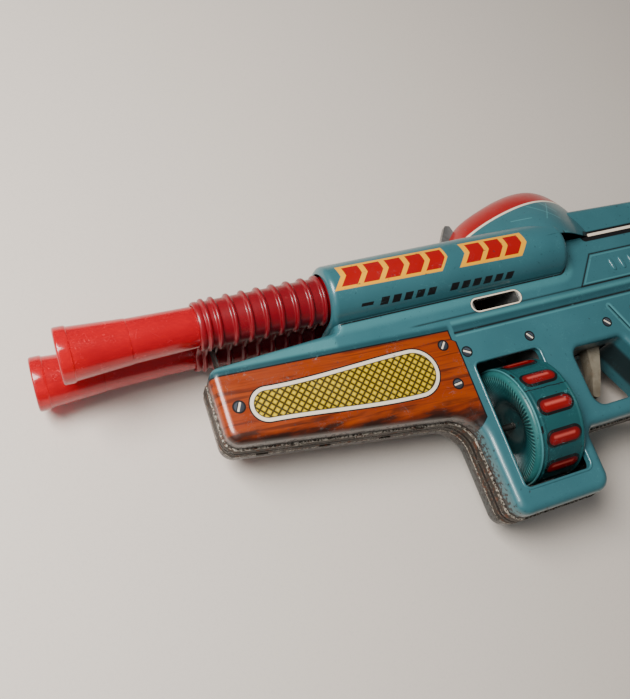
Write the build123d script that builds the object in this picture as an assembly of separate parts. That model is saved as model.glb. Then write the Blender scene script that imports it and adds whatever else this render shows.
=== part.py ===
from build123d import *
from math import acos, atan2, cos, degrees, pi, radians, sin, tan
import os

# Double-barrelled tin space gun, lying on its right side.
# Model axes while building: X runs from the muzzle to the butt, Y towards the gun's top,
# Z out of its left side. Y = 0 is the height of the barrels and Z = 0 is the seam between
# the two body halves. The finished set is moved so that its lowest face is at Z = 0.

# ---------------------------------------------------------------- driving sizes
sheet = 0.5                # tin plate
strip_sheet = 0.7          # bare steel plate of the strip and brackets
plate = 0.8                # steel plate of the gear frame
run_gap = 0.05             # radial clearance of a shaft in its hole
fit_gap = 0.02             # clearance of pieces fixed on each other
part_gap = 0.4             # clearance between pieces that pass each other

# barrels
barrel_spacing = 25.5      # axis to axis
stroke = 11.7              # travel of each barrel
muzzle_r = 12.0
muzzle_len = 5.4
cone_len = 28.5            # muzzle face to the step
cone_r0 = 11.4
cone_r1 = 9.9
tail_r0 = 9.7
tail_r = 9.05
barrel_wall = 1.2
parallel_x = 56.0          # where the slim tail becomes parallel

# ribbed sleeve
sleeve_x0 = 57.0
sleeve_wall = 0.75
sleeve_gap = 0.4
rib_height = 1.3
rib_pitch = 6.9
rib_count = 7
rib_width = 2.6
first_rib_x = 61.3
second_rib_x = 65.7
web_half = 6.5             # half height of the web between the two bores
collar_t = 1.5
tongue_half = 4.0          # half width of the steel tongue under the sleeve

# upper housing
housing_x0 = 115.0
housing_x1 = 241.0
housing_r = 14.4
lobe_shift = 0.85          # housing lobes' centres outside the barrels' axes
front_rim_r = 3.0
rear_round_r = 4.0

# battery housing at the butt
butt_x0 = 314.0
butt_x1 = 376.0
butt_round_r = 8.0

# flat body
body_half = 16.0
body_edge_r = 4.0
fore_x0 = 56.0
fore_top_y = -20.5
fore_front_bottom_y = -54.0
fore_slope = 0.139         # fall of the fore-end's underside
mag_front_x = 166.5
mag_rear_x = 215.5
mag_bottom_y = -117.5
receiver_bottom_y = -52.0
receiver_top_y = 19.5
guard_bottom_y = -89.5
guard_depth = 8.0
guard_front_x = 225.5
guard_edge_r = 2.5
grip_top_front_x = 255.0
grip_rake = 26.5           # degrees off upright
grip_bottom_y = -124.0
grip_depth = 42.0

# drum magazine and its window
drum_r = 28.4
drum_x0 = 184.0
drum_x1 = 207.0
window_x0 = 173.3
window_x1 = 208.6
window_half = 30.0
window_flange = 3.0

# port in the left and right sides
port_x0 = 184.5
port_x1 = 211.0
port_y = -20.5
port_half = 3.0

# gears, all on shafts parallel to X
module = 0.6
pressure_angle = 20.0
addendum = 0.8 * module
dedendum = 1.1 * module
backlash = 0.14
big_teeth = 45
small_teeth = 14
idler_1_teeth = 26
idler_2_teeth = 24
gear_width = 2.5
shaft_r = 1.5
crank_y = -11.5

# rocker that drives the barrels
rocker_x = 150.0
rocker_t = 1.2
rocker_y = -11.4
tail_len = 26.0
link_pin_r = 1.5
link_gap = 0.4
post_r = 2.0
yoke_half = 2.9
bracket_top_y = -14.0
crank_pin_gap = 0.8        # open pivot: the crank pin stops short of the yoke by this
carriage_len = 8.5
carriage_t = 1.1

# motor
motor_r = 12.0
motor_x0 = 268.0
motor_len = 30.0
motor_shaft_r = 1.0
motor_cap_len = 4.0

# trigger
trigger_pivot = (248.0, -44.5)
trigger_half = 3.6
trigger_wall = 0.8

# seam strip
strip_half = 5.5
strip_groove = 0.3
tab_count = 6
tab_pitch = 14.0
tab_len = 5.0

# lamp between the barrels
lamp_x = 129.0             # glass meets base
lamp_r = 2.9
lamp_base_r = 2.6

# battery door
door_depth = 6.0
door_round_r = 4.0
hinge_pin_r = 1.0
knuckle_r = 1.9
knuckle_half = 4.0
knuckle_end = 8.5
hinge_y = -16.8

# cells
cell_r = 13.1
cell_len = 50.0
cell_nub_r = 3.0
cell_nub_len = 1.6

# ---------------------------------------------------------------- worked out sizes
bz = barrel_spacing / 2
housing_z = bz + lobe_shift
inner_half = body_half - sheet
sleeve_bore = tail_r + sleeve_gap
sleeve_r = sleeve_bore + sleeve_wall
rib_r = sleeve_r + rib_height
collar_x = housing_x0 + front_rim_r
sleeve_x1 = collar_x + collar_t
swing = degrees(atan2(stroke / 2, bz))
big_r = big_teeth * module / 2
small_r = small_teeth * module / 2
idler_1_r = idler_1_teeth * module / 2
idler_2_r = idler_2_teeth * module / 2
layshaft_y = crank_y - big_r - small_r
idler_1_y = layshaft_y - small_r - idler_1_r
idler_2_y = idler_1_y - idler_1_r - idler_2_r
drum_y = idler_2_y - idler_2_r - big_r
motor_y = layshaft_y + big_r + small_r
crank_r = tail_len * sin(radians(swing))
gear_plate_x = window_x1 + sheet + 0.4
gear_x0 = gear_plate_x + plate + 1.1
gear_x1 = gear_x0 + gear_width
drum_plate_x = window_x0 - sheet - plate - 1.0
crank_disc_x = rocker_x + tail_len + 4.0
crank_plate_x = crank_disc_x + 5.0
motor_plate_x = motor_x0 - plate
lay_gear_x = motor_plate_x - gear_width - 1.6
guard_top_of_bar = guard_bottom_y + guard_depth
flange_top_y = -15.0
switch_x = motor_plate_x - 6.2
cell_plate_x = butt_x0 + butt_round_r + 0.6
cell_x0 = cell_plate_x + plate + 0.8


# ---------------------------------------------------------------- helpers
def box(x0, x1, y0, y1, z0, z1):
    """Box between two corners."""
    return Pos(x0, y0, z0) * Box(x1 - x0, y1 - y0, z1 - z0, align=(Align.MIN,) * 3)


def rod_x(r, x0, x1, y=0.0, z=0.0):
    """Round bar along X."""
    low = (Align.CENTER, Align.CENTER, Align.MIN)
    return Pos(x0, y, z) * Rot(0, 90, 0) * Cylinder(r, x1 - x0, align=low)


def rod_y(r, y0, y1, x=0.0, z=0.0):
    """Round bar along Y."""
    low = (Align.CENTER, Align.CENTER, Align.MIN)
    return Pos(x, y0, z) * Rot(-90, 0, 0) * Cylinder(r, y1 - y0, align=low)


def rod_z(r, z0, z1, x=0.0, y=0.0):
    """Round bar along Z."""
    low = (Align.CENTER, Align.CENTER, Align.MIN)
    return Pos(x, y, z0) * Cylinder(r, z1 - z0, align=low)


def turned(profile, y=0.0, z=0.0):
    """Solid of revolution about an X axis from (x, radius) points."""
    face = make_face(Polyline(*[(px, pr) for px, pr in profile], close=True))
    return Pos(0, y, z) * revolve(face, Axis.X)


def outline(corners):
    """Face in the XY plane from (x, y, corner radius) points."""
    points = [(x, y) for x, y, r in corners]
    return make_face(FilletPolyline(*points, radius=[r for x, y, r in corners], close=True))


def slab(face, half):
    """The face pulled out to both sides of the seam."""
    return extrude(face, amount=half, both=True)


def oval(x0, x1, r, z, y=0.0):
    """Bar along X with an oval section: two round ends of radius r at plus and minus z."""
    middle = box(x0, x1, y - r, y + r, -z, z)
    return middle + rod_x(r, x0, x1, y, z) + rod_x(r, x0, x1, y, -z)


def edges_at_x(shape, x):
    """Edges that lie wholly in the plane at x."""
    return [e for e in shape.edges() if abs(e.bounding_box().min.X - x) < 1e-4
            and abs(e.bounding_box().max.X - x) < 1e-4]


def edges_at_z(shape, z):
    """Edges that lie wholly in the plane at z."""
    return [e for e in shape.edges() if abs(e.bounding_box().min.Z - z) < 1e-4
            and abs(e.bounding_box().max.Z - z) < 1e-4]


# ---------------------------------------------------------------- gears
def tooth_half_angle(teeth, r):
    """Half the angle that one involute tooth covers at radius r."""
    pitch_r = teeth * module / 2
    base_r = pitch_r * cos(radians(pressure_angle))
    involute_at = lambda a: tan(a) - a
    at_pitch = pi / (2 * teeth) - backlash / (4 * pitch_r)
    at_r = involute_at(acos(min(1.0, base_r / r)))
    return at_pitch + involute_at(radians(pressure_angle)) - at_r


def gear(teeth, x0, width, y, phase, bore):
    """Spur gear on an X axis; phase is the angle of one tooth, from +Y towards +Z."""
    pitch_r = teeth * module / 2
    radii = [pitch_r - dedendum, pitch_r, pitch_r + addendum]
    points = []
    for k in range(teeth):
        centre = phase + 2 * pi * k / teeth
        halves = [tooth_half_angle(teeth, max(r, 1e-6)) for r in radii]
        for r, h in zip(radii, halves):
            points.append((r * cos(centre - h), r * sin(centre - h)))
        for r, h in zip(reversed(radii), reversed(halves)):
            points.append((r * cos(centre + h), r * sin(centre + h)))
    plane = Plane((x0, y, 0), x_dir=(0, 1, 0), z_dir=(1, 0, 0))
    wheel = extrude(plane * make_face(Polyline(*points, close=True)), amount=width)
    return wheel - rod_x(bore, x0 - 1, x0 + width + 1, y)


def phase_below(teeth_a, phase_a, teeth_b):
    """Phase of gear b so that it meshes below gear a."""
    place = -(phase_a - pi) * teeth_a / (2 * pi)
    return (place - 0.5) * 2 * pi / teeth_b


def phase_above(teeth_a, phase_a, teeth_b):
    """Phase of gear b so that it meshes above gear a."""
    place = phase_a * teeth_a / (2 * pi)
    return pi - (place - 0.5) * 2 * pi / teeth_b


# ---------------------------------------------------------------- body shell
def body_outline(inset):
    """Side view of the flat body, shrunk by inset, without the guard hole."""
    lean = tan(radians(grip_rake))
    guard_x = grip_top_front_x + lean * (receiver_bottom_y - guard_bottom_y)
    grip_x = grip_top_front_x + lean * (receiver_bottom_y - grip_bottom_y)
    back_x = grip_x + grip_depth * cos(radians(grip_rake))
    back_y = grip_bottom_y + grip_depth * sin(radians(grip_rake))
    corner_y = receiver_bottom_y + 6.0
    corner_x = back_x - lean * (corner_y - back_y)
    fore_rear_x = mag_front_x - 1.0
    fore_rear_y = fore_front_bottom_y - fore_slope * (fore_rear_x - fore_x0)
    face = outline([
        (fore_x0, fore_top_y, 5.0),
        (fore_x0, fore_front_bottom_y, 7.0),
        (fore_rear_x, fore_rear_y, 14.0),
        (mag_front_x, mag_bottom_y, 7.0),
        (mag_rear_x, mag_bottom_y, 7.0),
        (mag_rear_x, guard_bottom_y, 5.0),
        (guard_x, guard_bottom_y, 6.0),
        (grip_x, grip_bottom_y, 8.0),
        (back_x, back_y, 10.0),
        (corner_x, corner_y, 14.0),
        (butt_x1 - 30.0, receiver_bottom_y + 20.0, 14.0),
        (butt_x1 - 11.0, -housing_r + 2.0, 6.0),
        (butt_x1 - 11.0, 6.0, 6.0),
        (butt_x1 - 40.0, receiver_top_y - 2.5, 20.0),
        (housing_x1 - 6.0, receiver_top_y, 6.0),
        (housing_x1 - 6.0, 5.0, 3.0),
        (housing_x0 + 1.5, 5.0, 6.0),
        (housing_x0 + 1.5, fore_top_y + 3.5, 3.0),
    ])
    return offset(face, amount=-inset) if inset else face


def guard_hole(inset):
    """Finger hole behind the drum, grown by inset."""
    lean = tan(radians(grip_rake))
    low_x = grip_top_front_x + lean * (receiver_bottom_y - guard_top_of_bar)
    face = outline([
        (guard_front_x, receiver_bottom_y, 5.0),
        (guard_front_x, guard_top_of_bar, 6.0),
        (low_x, guard_top_of_bar, 4.0),
        (grip_top_front_x, receiver_bottom_y, 4.0),
    ])
    return offset(face, amount=inset) if inset else face


def flat_body(inset):
    """The flat body as a solid slab with rounded edges."""
    half = body_half - inset
    solid = slab(body_outline(inset), half)
    rims = edges_at_z(solid, half) + edges_at_z(solid, -half)
    solid = fillet(rims, body_edge_r - inset)
    solid = solid - slab(guard_hole(inset), half + 1)
    hole = slab(guard_hole(inset + 0.1), half + 1)
    rims = [e for e in edges_at_z(solid, half) + edges_at_z(solid, -half)
            if hole.is_inside(e.position_at(0.5))]
    return fillet(rims, guard_edge_r - inset)


def hump(inset):
    """Bulge on top of the housing, lofted through arches along X."""
    # x, top height, shoulder half width, shoulder height, foot half width
    arches = [
        (188.0, 15.0, 9.0, 12.0, 20.0),
        (200.0, 25.6, 10.5, 18.5, 22.5),
        (214.0, 33.0, 13.0, 22.5, 25.5),
        (227.0, 37.5, 15.5, 24.0, 27.6),
        (240.0, 40.2, 16.5, 25.5, 27.4),
        (249.0, 40.3, 15.0, 26.0, 24.0),
        (256.0, 38.4, 12.5, 25.5, 20.0),
        (262.0, 33.6, 10.5, 22.5, 16.6),
        (266.5, 25.0, 8.5, 17.5, 13.5),
    ]
    faces = []
    for x, top, shoulder_z, shoulder_y, foot_z in arches:
        plane = Plane((x, 0, 0), x_dir=(0, 0, 1), z_dir=(-1, 0, 0))
        foot = foot_z - inset
        shoulder = shoulder_z - inset
        arch = Spline((-foot, 2.0), (-shoulder, shoulder_y - inset), (0, top - inset),
                      (shoulder, shoulder_y - inset), (foot, 2.0))
        faces.append(plane * make_face(arch + Line((foot, 2.0), (-foot, 2.0))))
    return loft(faces)


def upper_housing(x0, x1, front_r, rear_r, inset):
    """Oval housing shrunk by inset, with both ends rounded."""
    solid = oval(x0 + inset, x1 - inset, housing_r - inset, housing_z)
    solid = fillet(edges_at_x(solid, x0 + inset), front_r - inset)
    return fillet(edges_at_x(solid, x1 - inset), rear_r - inset)


def butt_housing(inset, x1):
    """Oval battery housing, open at the rear when x1 is past its end."""
    solid = oval(butt_x0 + inset, x1, housing_r - inset, housing_z)
    return fillet(edges_at_x(solid, butt_x0 + inset), butt_round_r - inset)


def body_shell():
    """Whole tin body before it is parted along the seam."""
    outer = flat_body(0) + upper_housing(housing_x0, housing_x1, front_rim_r, rear_round_r, 0)
    outer = outer + butt_housing(0, butt_x1) + hump(0)
    hollow = flat_body(sheet)
    hollow = hollow + upper_housing(housing_x0, housing_x1, front_rim_r, rear_round_r, sheet)
    hollow = hollow + butt_housing(sheet, butt_x1 + 5) + hump(sheet)
    shell = outer - hollow
    shell = shell - oval(housing_x0 - 1, housing_x0 + 2, rib_r + part_gap, bz)
    side = body_half + 5
    window = box(window_x0, window_x1, drum_y - window_half, drum_y + window_half, -side, side)
    window = fillet(window.edges().filter_by(Axis.Z), 3.0)
    rim = box(window_x0 - sheet, window_x1 + sheet, drum_y - window_half - sheet,
              drum_y + window_half + sheet, -inner_half, inner_half)
    rim = fillet(rim.edges().filter_by(Axis.Z), 3.0 + sheet)
    rim = rim - box(0, 400, -200, 100, -inner_half + window_flange, inner_half - window_flange)
    shell = (shell + rim) - window
    middle = (port_x0 + port_x1) / 2
    reach = (port_x1 - port_x0) / 2 - port_half
    port = box(middle - reach, middle + reach, port_y - port_half, port_y + port_half, -side, side)
    port = port + rod_z(port_half, -side, side, middle - reach, port_y)
    port = port + rod_z(port_half, -side, side, middle + reach, port_y)
    slot = box(trigger_pivot[0] - 9, trigger_pivot[0] + 6, receiver_bottom_y - 1,
               receiver_bottom_y + 1, -trigger_half - part_gap, trigger_half + part_gap)
    return shell - port - slot


def half_of(shape, side):
    """The part of a shape on the left (1) or right (-1) of the seam."""
    if side > 0:
        return shape & box(-50, 600, -300, 150, 0, 90)
    return shape & box(-50, 600, -300, 150, -90, 0)


def seam_strip():
    """Bare steel strip over the seam, from the fore-end's front down and round to the grip."""
    body = body_outline(0)
    band = offset(body, amount=strip_sheet) - body
    low = Pos(160, -90) * Rectangle(260, 132) + Pos(350, -110) * Rectangle(120, 100)
    band = band & low
    groove = offset(body, amount=strip_sheet + 1) - offset(body, amount=strip_sheet - strip_groove)
    return slab(band, strip_half) - slab(groove, strip_groove)


def shell_tabs():
    """Small tabs bent flat on the strip, along the fore-end's underside."""
    rise = atan2(fore_slope, 1.0)
    tabs = []
    for k in range(tab_count):
        x = fore_x0 + 16 + k * tab_pitch
        y = fore_front_bottom_y - fore_slope * (x - fore_x0) - strip_sheet / cos(rise)
        z = (strip_half - 1.6) * (1 if k % 2 else -1)
        tab = Box(tab_len, 0.5, 1.8, align=(Align.CENTER, Align.MAX, Align.CENTER))
        tabs.append(Pos(x, y, z) * Rot(0, 0, -degrees(rise)) * tab)
    return Compound(children=tabs)


def front_sight():
    """Small steel blade that stands on the front of the bulge."""
    blade = outline([
        (186.5, 14.0, 0.0), (197.0, 30.0, 0.8), (199.6, 29.4, 0.8), (201.0, 23.0, 0.0),
        (193.0, 12.0, 0.0),
    ])
    solid = slab(blade, 1.6)
    solid = solid - hump(0)
    return solid - upper_housing(housing_x0, housing_x1, front_rim_r, rear_round_r, 0)


# ---------------------------------------------------------------- sleeve and barrels
def lobes(x0, x1, r, web):
    """Two round bars side by side with a flat web between them."""
    return rod_x(r, x0, x1, 0, bz) + rod_x(r, x0, x1, 0, -bz) + box(x0, x1, -web, web, -bz, bz)


def rib(x, r, web):
    """One ring of the sleeve, with a narrower crown."""
    wide = lobes(x - rib_width / 2, x + rib_width / 2, r - 0.5, web)
    return wide + lobes(x - rib_width / 4, x + rib_width / 4, r, web + 0.5)


def sleeve():
    """Ribbed double sleeve, held in the housing's front wall by a collar."""
    web = web_half + rib_height - 0.5
    body = lobes(sleeve_x0, sleeve_x1, sleeve_r, web_half)
    body = body + rib(sleeve_x0 + rib_width / 2, sleeve_r + rib_height / 2, web_half)
    body = body + rib(first_rib_x, rib_r, web)
    for k in range(rib_count):
        body = body + rib(second_rib_x + k * rib_pitch, rib_r, web)
    body = body + rib(housing_x0 - rib_width / 2 - 0.3, rib_r, web)
    body = body + oval(collar_x, sleeve_x1, housing_r - sheet - part_gap, bz)
    bore = rod_x(sleeve_bore, 0, 200, 0, bz) + rod_x(sleeve_bore, 0, 200, 0, -bz)
    web_in = web_half - sleeve_wall
    return body - bore - box(0, 200, -web_in, web_in, -bz, bz)


def sleeve_bracket():
    """Upright steel tongue between two ribs that carries the sleeve's front end."""
    x = (first_rib_x + second_rib_x - strip_sheet) / 2
    tongue = box(x, x + strip_sheet, fore_top_y - 1, -web_half, -tongue_half, tongue_half)
    return tongue - flat_body(0)


def barrel(x, z):
    """One translucent barrel with its muzzle face at x."""
    end = rocker_x + stroke / 2 + carriage_len / 2
    outer = [(0.0, muzzle_r - 0.6), (0.6, muzzle_r), (muzzle_len - 0.6, muzzle_r),
             (muzzle_len, cone_r0), (cone_len, cone_r1), (cone_len + 0.4, tail_r0),
             (parallel_x, tail_r), (end, tail_r)]
    bore = [(px, pr - barrel_wall) for px, pr in reversed(outer[3:])]
    bore = bore + [(0.0, muzzle_r - barrel_wall)]
    return Pos(x, 0, 0) * turned(outer + bore, 0, z)


def carriage(x, z):
    """Collar on a barrel's tail, with the pin that the rocker pushes; x is the pin's place."""
    r = tail_r + carriage_t
    pin = rod_y(link_pin_r, rocker_y - rocker_t / 2 - 1.0, 0, x, z)
    collar = rod_x(r, x - carriage_len / 2, x + carriage_len / 2, 0, z) + pin
    return collar - rod_x(tail_r + fit_gap, x - 20, x + 20, 0, z)


# ---------------------------------------------------------------- rocker, crank and lamp
def rocker_arm():
    """Rocker with a slot for each barrel pin and an upright yoke for the crank pin."""
    y0 = rocker_y - rocker_t / 2
    y1 = rocker_y + rocker_t / 2
    far = bz / cos(radians(swing))
    width = link_pin_r + link_gap
    reach = far + width + 1.5
    arm = box(-4.2, 4.2, y0, y1, -reach, reach) + box(0, tail_len, y0, y1, -yoke_half, yoke_half)
    tall = crank_r + width + 1.3
    yoke = box(tail_len - rocker_t, tail_len, crank_y - tall, crank_y + tall, -yoke_half, yoke_half)
    slit = box(tail_len - 5, tail_len + 5, crank_y - tall + 1.3, crank_y + tall - 1.3,
               -width + 0.1, width - 0.1)
    arm = arm + yoke - slit
    for side in (1, -1):
        low = min(side * (bz - link_gap), side * (far + link_gap))
        high = max(side * (bz - link_gap), side * (far + link_gap))
        arm = arm - box(-width, width, y0 - 1, y1 + 1, low, high)
        arm = arm - rod_y(width, y0 - 1, y1 + 1, 0, low) - rod_y(width, y0 - 1, y1 + 1, 0, high)
    arm = arm - rod_y(post_r + run_gap, y0 - 1, y1 + 1)
    return Pos(rocker_x, 0, 0) * Rot(0, swing, 0) * arm


def rocker_post():
    """Shouldered post that the rocker swings on."""
    y0 = rocker_y - rocker_t / 2
    y1 = rocker_y + rocker_t / 2
    post = rod_y(post_r, bracket_top_y, y1 + part_gap + 0.8, rocker_x)
    post = post + rod_y(post_r + 1.4, bracket_top_y, y0 - part_gap, rocker_x)
    return post + rod_y(post_r + 1.2, y1 + part_gap, y1 + part_gap + 0.8, rocker_x)


def rocker_bracket():
    """Cross bracket under the barrels, bent down at both sides of the body."""
    top = bracket_top_y
    bracket = box(lamp_x + 1, rocker_x + 12, top - plate, top, -inner_half, inner_half)
    for low in (-inner_half, inner_half - plate):
        bracket = bracket + box(lamp_x + 1, rocker_x + 12, top - 9, top - plate, low, low + plate)
    return bracket


def lamp_glass():
    """Small round-nosed bulb between the barrels."""
    round_end = Pos(lamp_x - 10, 0, 0) * Sphere(lamp_r)
    return rod_x(lamp_r, lamp_x - 10, lamp_x) + round_end


def lamp_holder():
    """Collar and stem that hold the bulb's base."""
    ring = rod_x(lamp_base_r + 0.65, lamp_x + 1, lamp_x + 4)
    stem = box(lamp_x + 2, lamp_x + 3, bracket_top_y, 0, -2.0, 2.0)
    return ring + stem - rod_x(lamp_base_r + fit_gap, lamp_x - 1, lamp_x + 9)


def crank_disc():
    """Disc with the pin that faces the rocker's yoke, at the pin's far side at rest."""
    disc = rod_x(crank_r + 1.9, crank_disc_x, crank_disc_x + 1.2, crank_y)
    pin_end = rocker_x + tail_len + crank_pin_gap
    disc = disc + rod_x(link_pin_r, pin_end, crank_disc_x, crank_y, -crank_r)
    return disc - rod_x(shaft_r + fit_gap, crank_disc_x - 1, crank_disc_x + 2, crank_y)


def cross_plate(x, y0, y1, bores, flange):
    """Plate square to X between the body's sides, with (radius, y) bores and side flanges."""
    solid = box(x, x + plate, y0, y1, -inner_half, inner_half)
    for r, y in bores:
        solid = solid - rod_x(r, x - 1, x + plate + 1, y)
    if flange == 0:
        return solid
    x0, x1 = (x + plate, x + plate + flange) if flange > 0 else (x + flange, x)
    for low in (-inner_half, inner_half - plate):
        solid = solid + box(x0, x1, y0, min(y1, flange_top_y), low, low + plate)
    return solid


def stud(y):
    """Headed stud on the gear plate that an idler turns on."""
    post = rod_x(shaft_r, gear_plate_x + plate, gear_x1 + 0.3, y)
    return post + rod_x(shaft_r + 0.9, gear_x1 + 0.3, gear_x1 + 0.6, y)


# ---------------------------------------------------------------- drum
def drum_shell():
    """Wrapped tin cylinder of the drum."""
    return rod_x(drum_r, drum_x0, drum_x1, drum_y) - rod_x(drum_r - sheet, 0, 300, drum_y)


def drum_front_disc():
    """Dished front disc with a rolled rim and a hub hole."""
    rim = drum_r - sheet - fit_gap
    bore = shaft_r + fit_gap
    x = drum_x0
    front = [(x + 1.5, rim), (x + 0.2, rim), (x - 1.0, rim - 0.7), (x - 1.5, rim - 1.9),
             (x - 1.1, rim - 3.3), (x + 3.5, rim - 14.4), (x + 5.5, rim - 19.0), (x + 5.5, bore)]
    back = [(x + 5.5 + sheet, bore), (x + 5.5 + sheet, rim - 18.7), (x + 4.0, rim - 14.1),
            (x - 0.5, rim - 3.1), (x - 0.9, rim - 1.9), (x - 0.6, rim - 1.1),
            (x + 0.4, rim - 0.5), (x + 1.5, rim - 0.5)]
    return turned(front + back, drum_y)


def drum_rear_disc():
    """Flat rear disc with its hub."""
    rim = drum_r - sheet - fit_gap
    disc = rod_x(rim, drum_x1 - 1.0 - sheet, drum_x1 - 1.0, drum_y)
    disc = disc + rod_x(4.0, drum_x0 + 9.0, drum_x1 - 1.0, drum_y)
    return disc - rod_x(shaft_r + fit_gap, 0, 300, drum_y)


# ---------------------------------------------------------------- motor
def motor_can():
    """Drawn can of the motor, closed at the front but for the shaft hole."""
    x1 = motor_x0 + motor_len - motor_cap_len
    can = rod_x(motor_r, motor_x0, x1, motor_y) - rod_x(motor_r - 0.7, motor_x0 + 0.7, 400, motor_y)
    return can - rod_x(motor_shaft_r + run_gap, 0, 400, motor_y)


def motor_cap():
    """End cap of the motor with a blind bearing."""
    x1 = motor_x0 + motor_len
    cap = rod_x(motor_r, x1 - motor_cap_len, x1, motor_y)
    return cap - rod_x(motor_shaft_r + run_gap, 0, x1 - 1.0, motor_y)


# ---------------------------------------------------------------- trigger and switch
def trigger():
    """Folded trigger, open at the back, with a hole for its pin."""
    px, py = trigger_pivot
    face = outline([
        (px - 4.0, py - 1.5, 1.5), (px - 5.8, py - 8.5, 3.0), (px - 8.2, py - 19.0, 8.0),
        (px - 13.8, py - 30.5, 1.2), (px - 10.4, py - 32.0, 1.6), (px - 3.5, py - 19.5, 10.0),
        (px + 1.5, py - 8.5, 3.0), (px + 4.5, py - 1.5, 1.5), (px + 3.0, py + 4.2, 2.0),
        (px - 3.0, py + 4.2, 2.0),
    ])
    solid = slab(face, trigger_half)
    solid = solid - Pos(trigger_wall + 0.1, 0, 0) * slab(face, trigger_half - trigger_wall)
    return solid - rod_z(shaft_r + run_gap, -20, 20, px, py)


def trigger_spring():
    """Close-wound return spring round the trigger's pin, with one leg on the trigger."""
    px, py = trigger_pivot
    coil = rod_z(2.5, -2.2, 2.2, px, py) - rod_z(shaft_r + 0.4, -3, 3, px, py)
    leg = box(px - 2.5, px - 1.9, py - 6.5, py, -0.3, 0.3)
    return coil + leg


def switch_blades():
    """Two contact blades of the trigger switch."""
    blades = [box(switch_x - 5.5, switch_x, y, y + 0.3, -2, 2) for y in (-46.5, -48.5)]
    return Compound(children=blades)


# ---------------------------------------------------------------- cells and door
def cell(z, nub_first):
    """Dry cell along X in one lobe of the battery housing."""
    x0 = cell_x0 + (cell_nub_len if nub_first else 0)
    body = rod_x(cell_r, x0, x0 + cell_len - cell_nub_len, 0, z)
    nub_x = cell_x0 if nub_first else cell_x0 + cell_len - cell_nub_len
    return body + rod_x(cell_nub_r, nub_x, nub_x + cell_nub_len, 0, z)


def front_contacts():
    """Pair of round contacts on the cell plate."""
    x0 = cell_plate_x + plate
    return Compound(children=[rod_x(5, x0, cell_x0, 0, side * housing_z) for side in (1, -1)])


def battery_door():
    """Pressed end door with its hinge knuckle and catch tab."""
    x1 = butt_x1 + door_depth
    shell = oval(butt_x1, x1, housing_r, housing_z)
    shell = fillet(edges_at_x(shell, x1), door_round_r)
    hollow = oval(butt_x1 - 1, x1 - sheet, housing_r - sheet, housing_z)
    shell = shell - fillet(edges_at_x(hollow, x1 - sheet), door_round_r - sheet)
    leaf_y = -housing_r - strip_sheet
    leaf = box(butt_x1 + 0.3, x1 - door_round_r, leaf_y, -housing_r, -knuckle_half, knuckle_half)
    leg = box(butt_x1 + 0.3, butt_x1 + 0.3 + strip_sheet, hinge_y, leaf_y,
              -knuckle_half, knuckle_half)
    knuckle = rod_z(knuckle_r, -knuckle_half, knuckle_half, butt_x1, hinge_y)
    tab = box(butt_x1 + 0.3, x1 - door_round_r, housing_r, housing_r + strip_sheet, -4, 4)
    door = shell + leaf + leg + knuckle + tab
    return door - rod_z(hinge_pin_r + run_gap, -20, 20, butt_x1, hinge_y)


def door_contact():
    """Bridge contact on the inside of the door, on two stems."""
    x0 = cell_x0 + cell_len + part_gap
    x1 = butt_x1 + door_depth - sheet
    bar = box(x0, x0 + 0.5, -3, 3, -18, 18)
    for z in (-11, 9):
        bar = bar + box(x0 + 0.5, x1, -1, 1, z, z + 2)
    return bar


def door_hinge_leaf():
    """Fixed half of the door's hinge, under the battery housing."""
    leaf_y = -housing_r - strip_sheet
    fixed = box(butt_x1 - 9, butt_x1, leaf_y, -housing_r, -knuckle_end, knuckle_end)
    fixed = fixed - box(butt_x1 - 4, butt_x1 + 1, leaf_y - 1, 0, -knuckle_half - part_gap,
                        knuckle_half + part_gap)
    for z0 in (-knuckle_end, knuckle_half + part_gap):
        z1 = z0 + knuckle_end - knuckle_half - part_gap
        fixed = fixed + rod_z(knuckle_r, z0, z1, butt_x1, hinge_y)
        fixed = fixed + box(butt_x1 - strip_sheet, butt_x1, hinge_y, leaf_y, z0, z1)
    return fixed - rod_z(hinge_pin_r + fit_gap, -20, 20, butt_x1, hinge_y)


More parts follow.
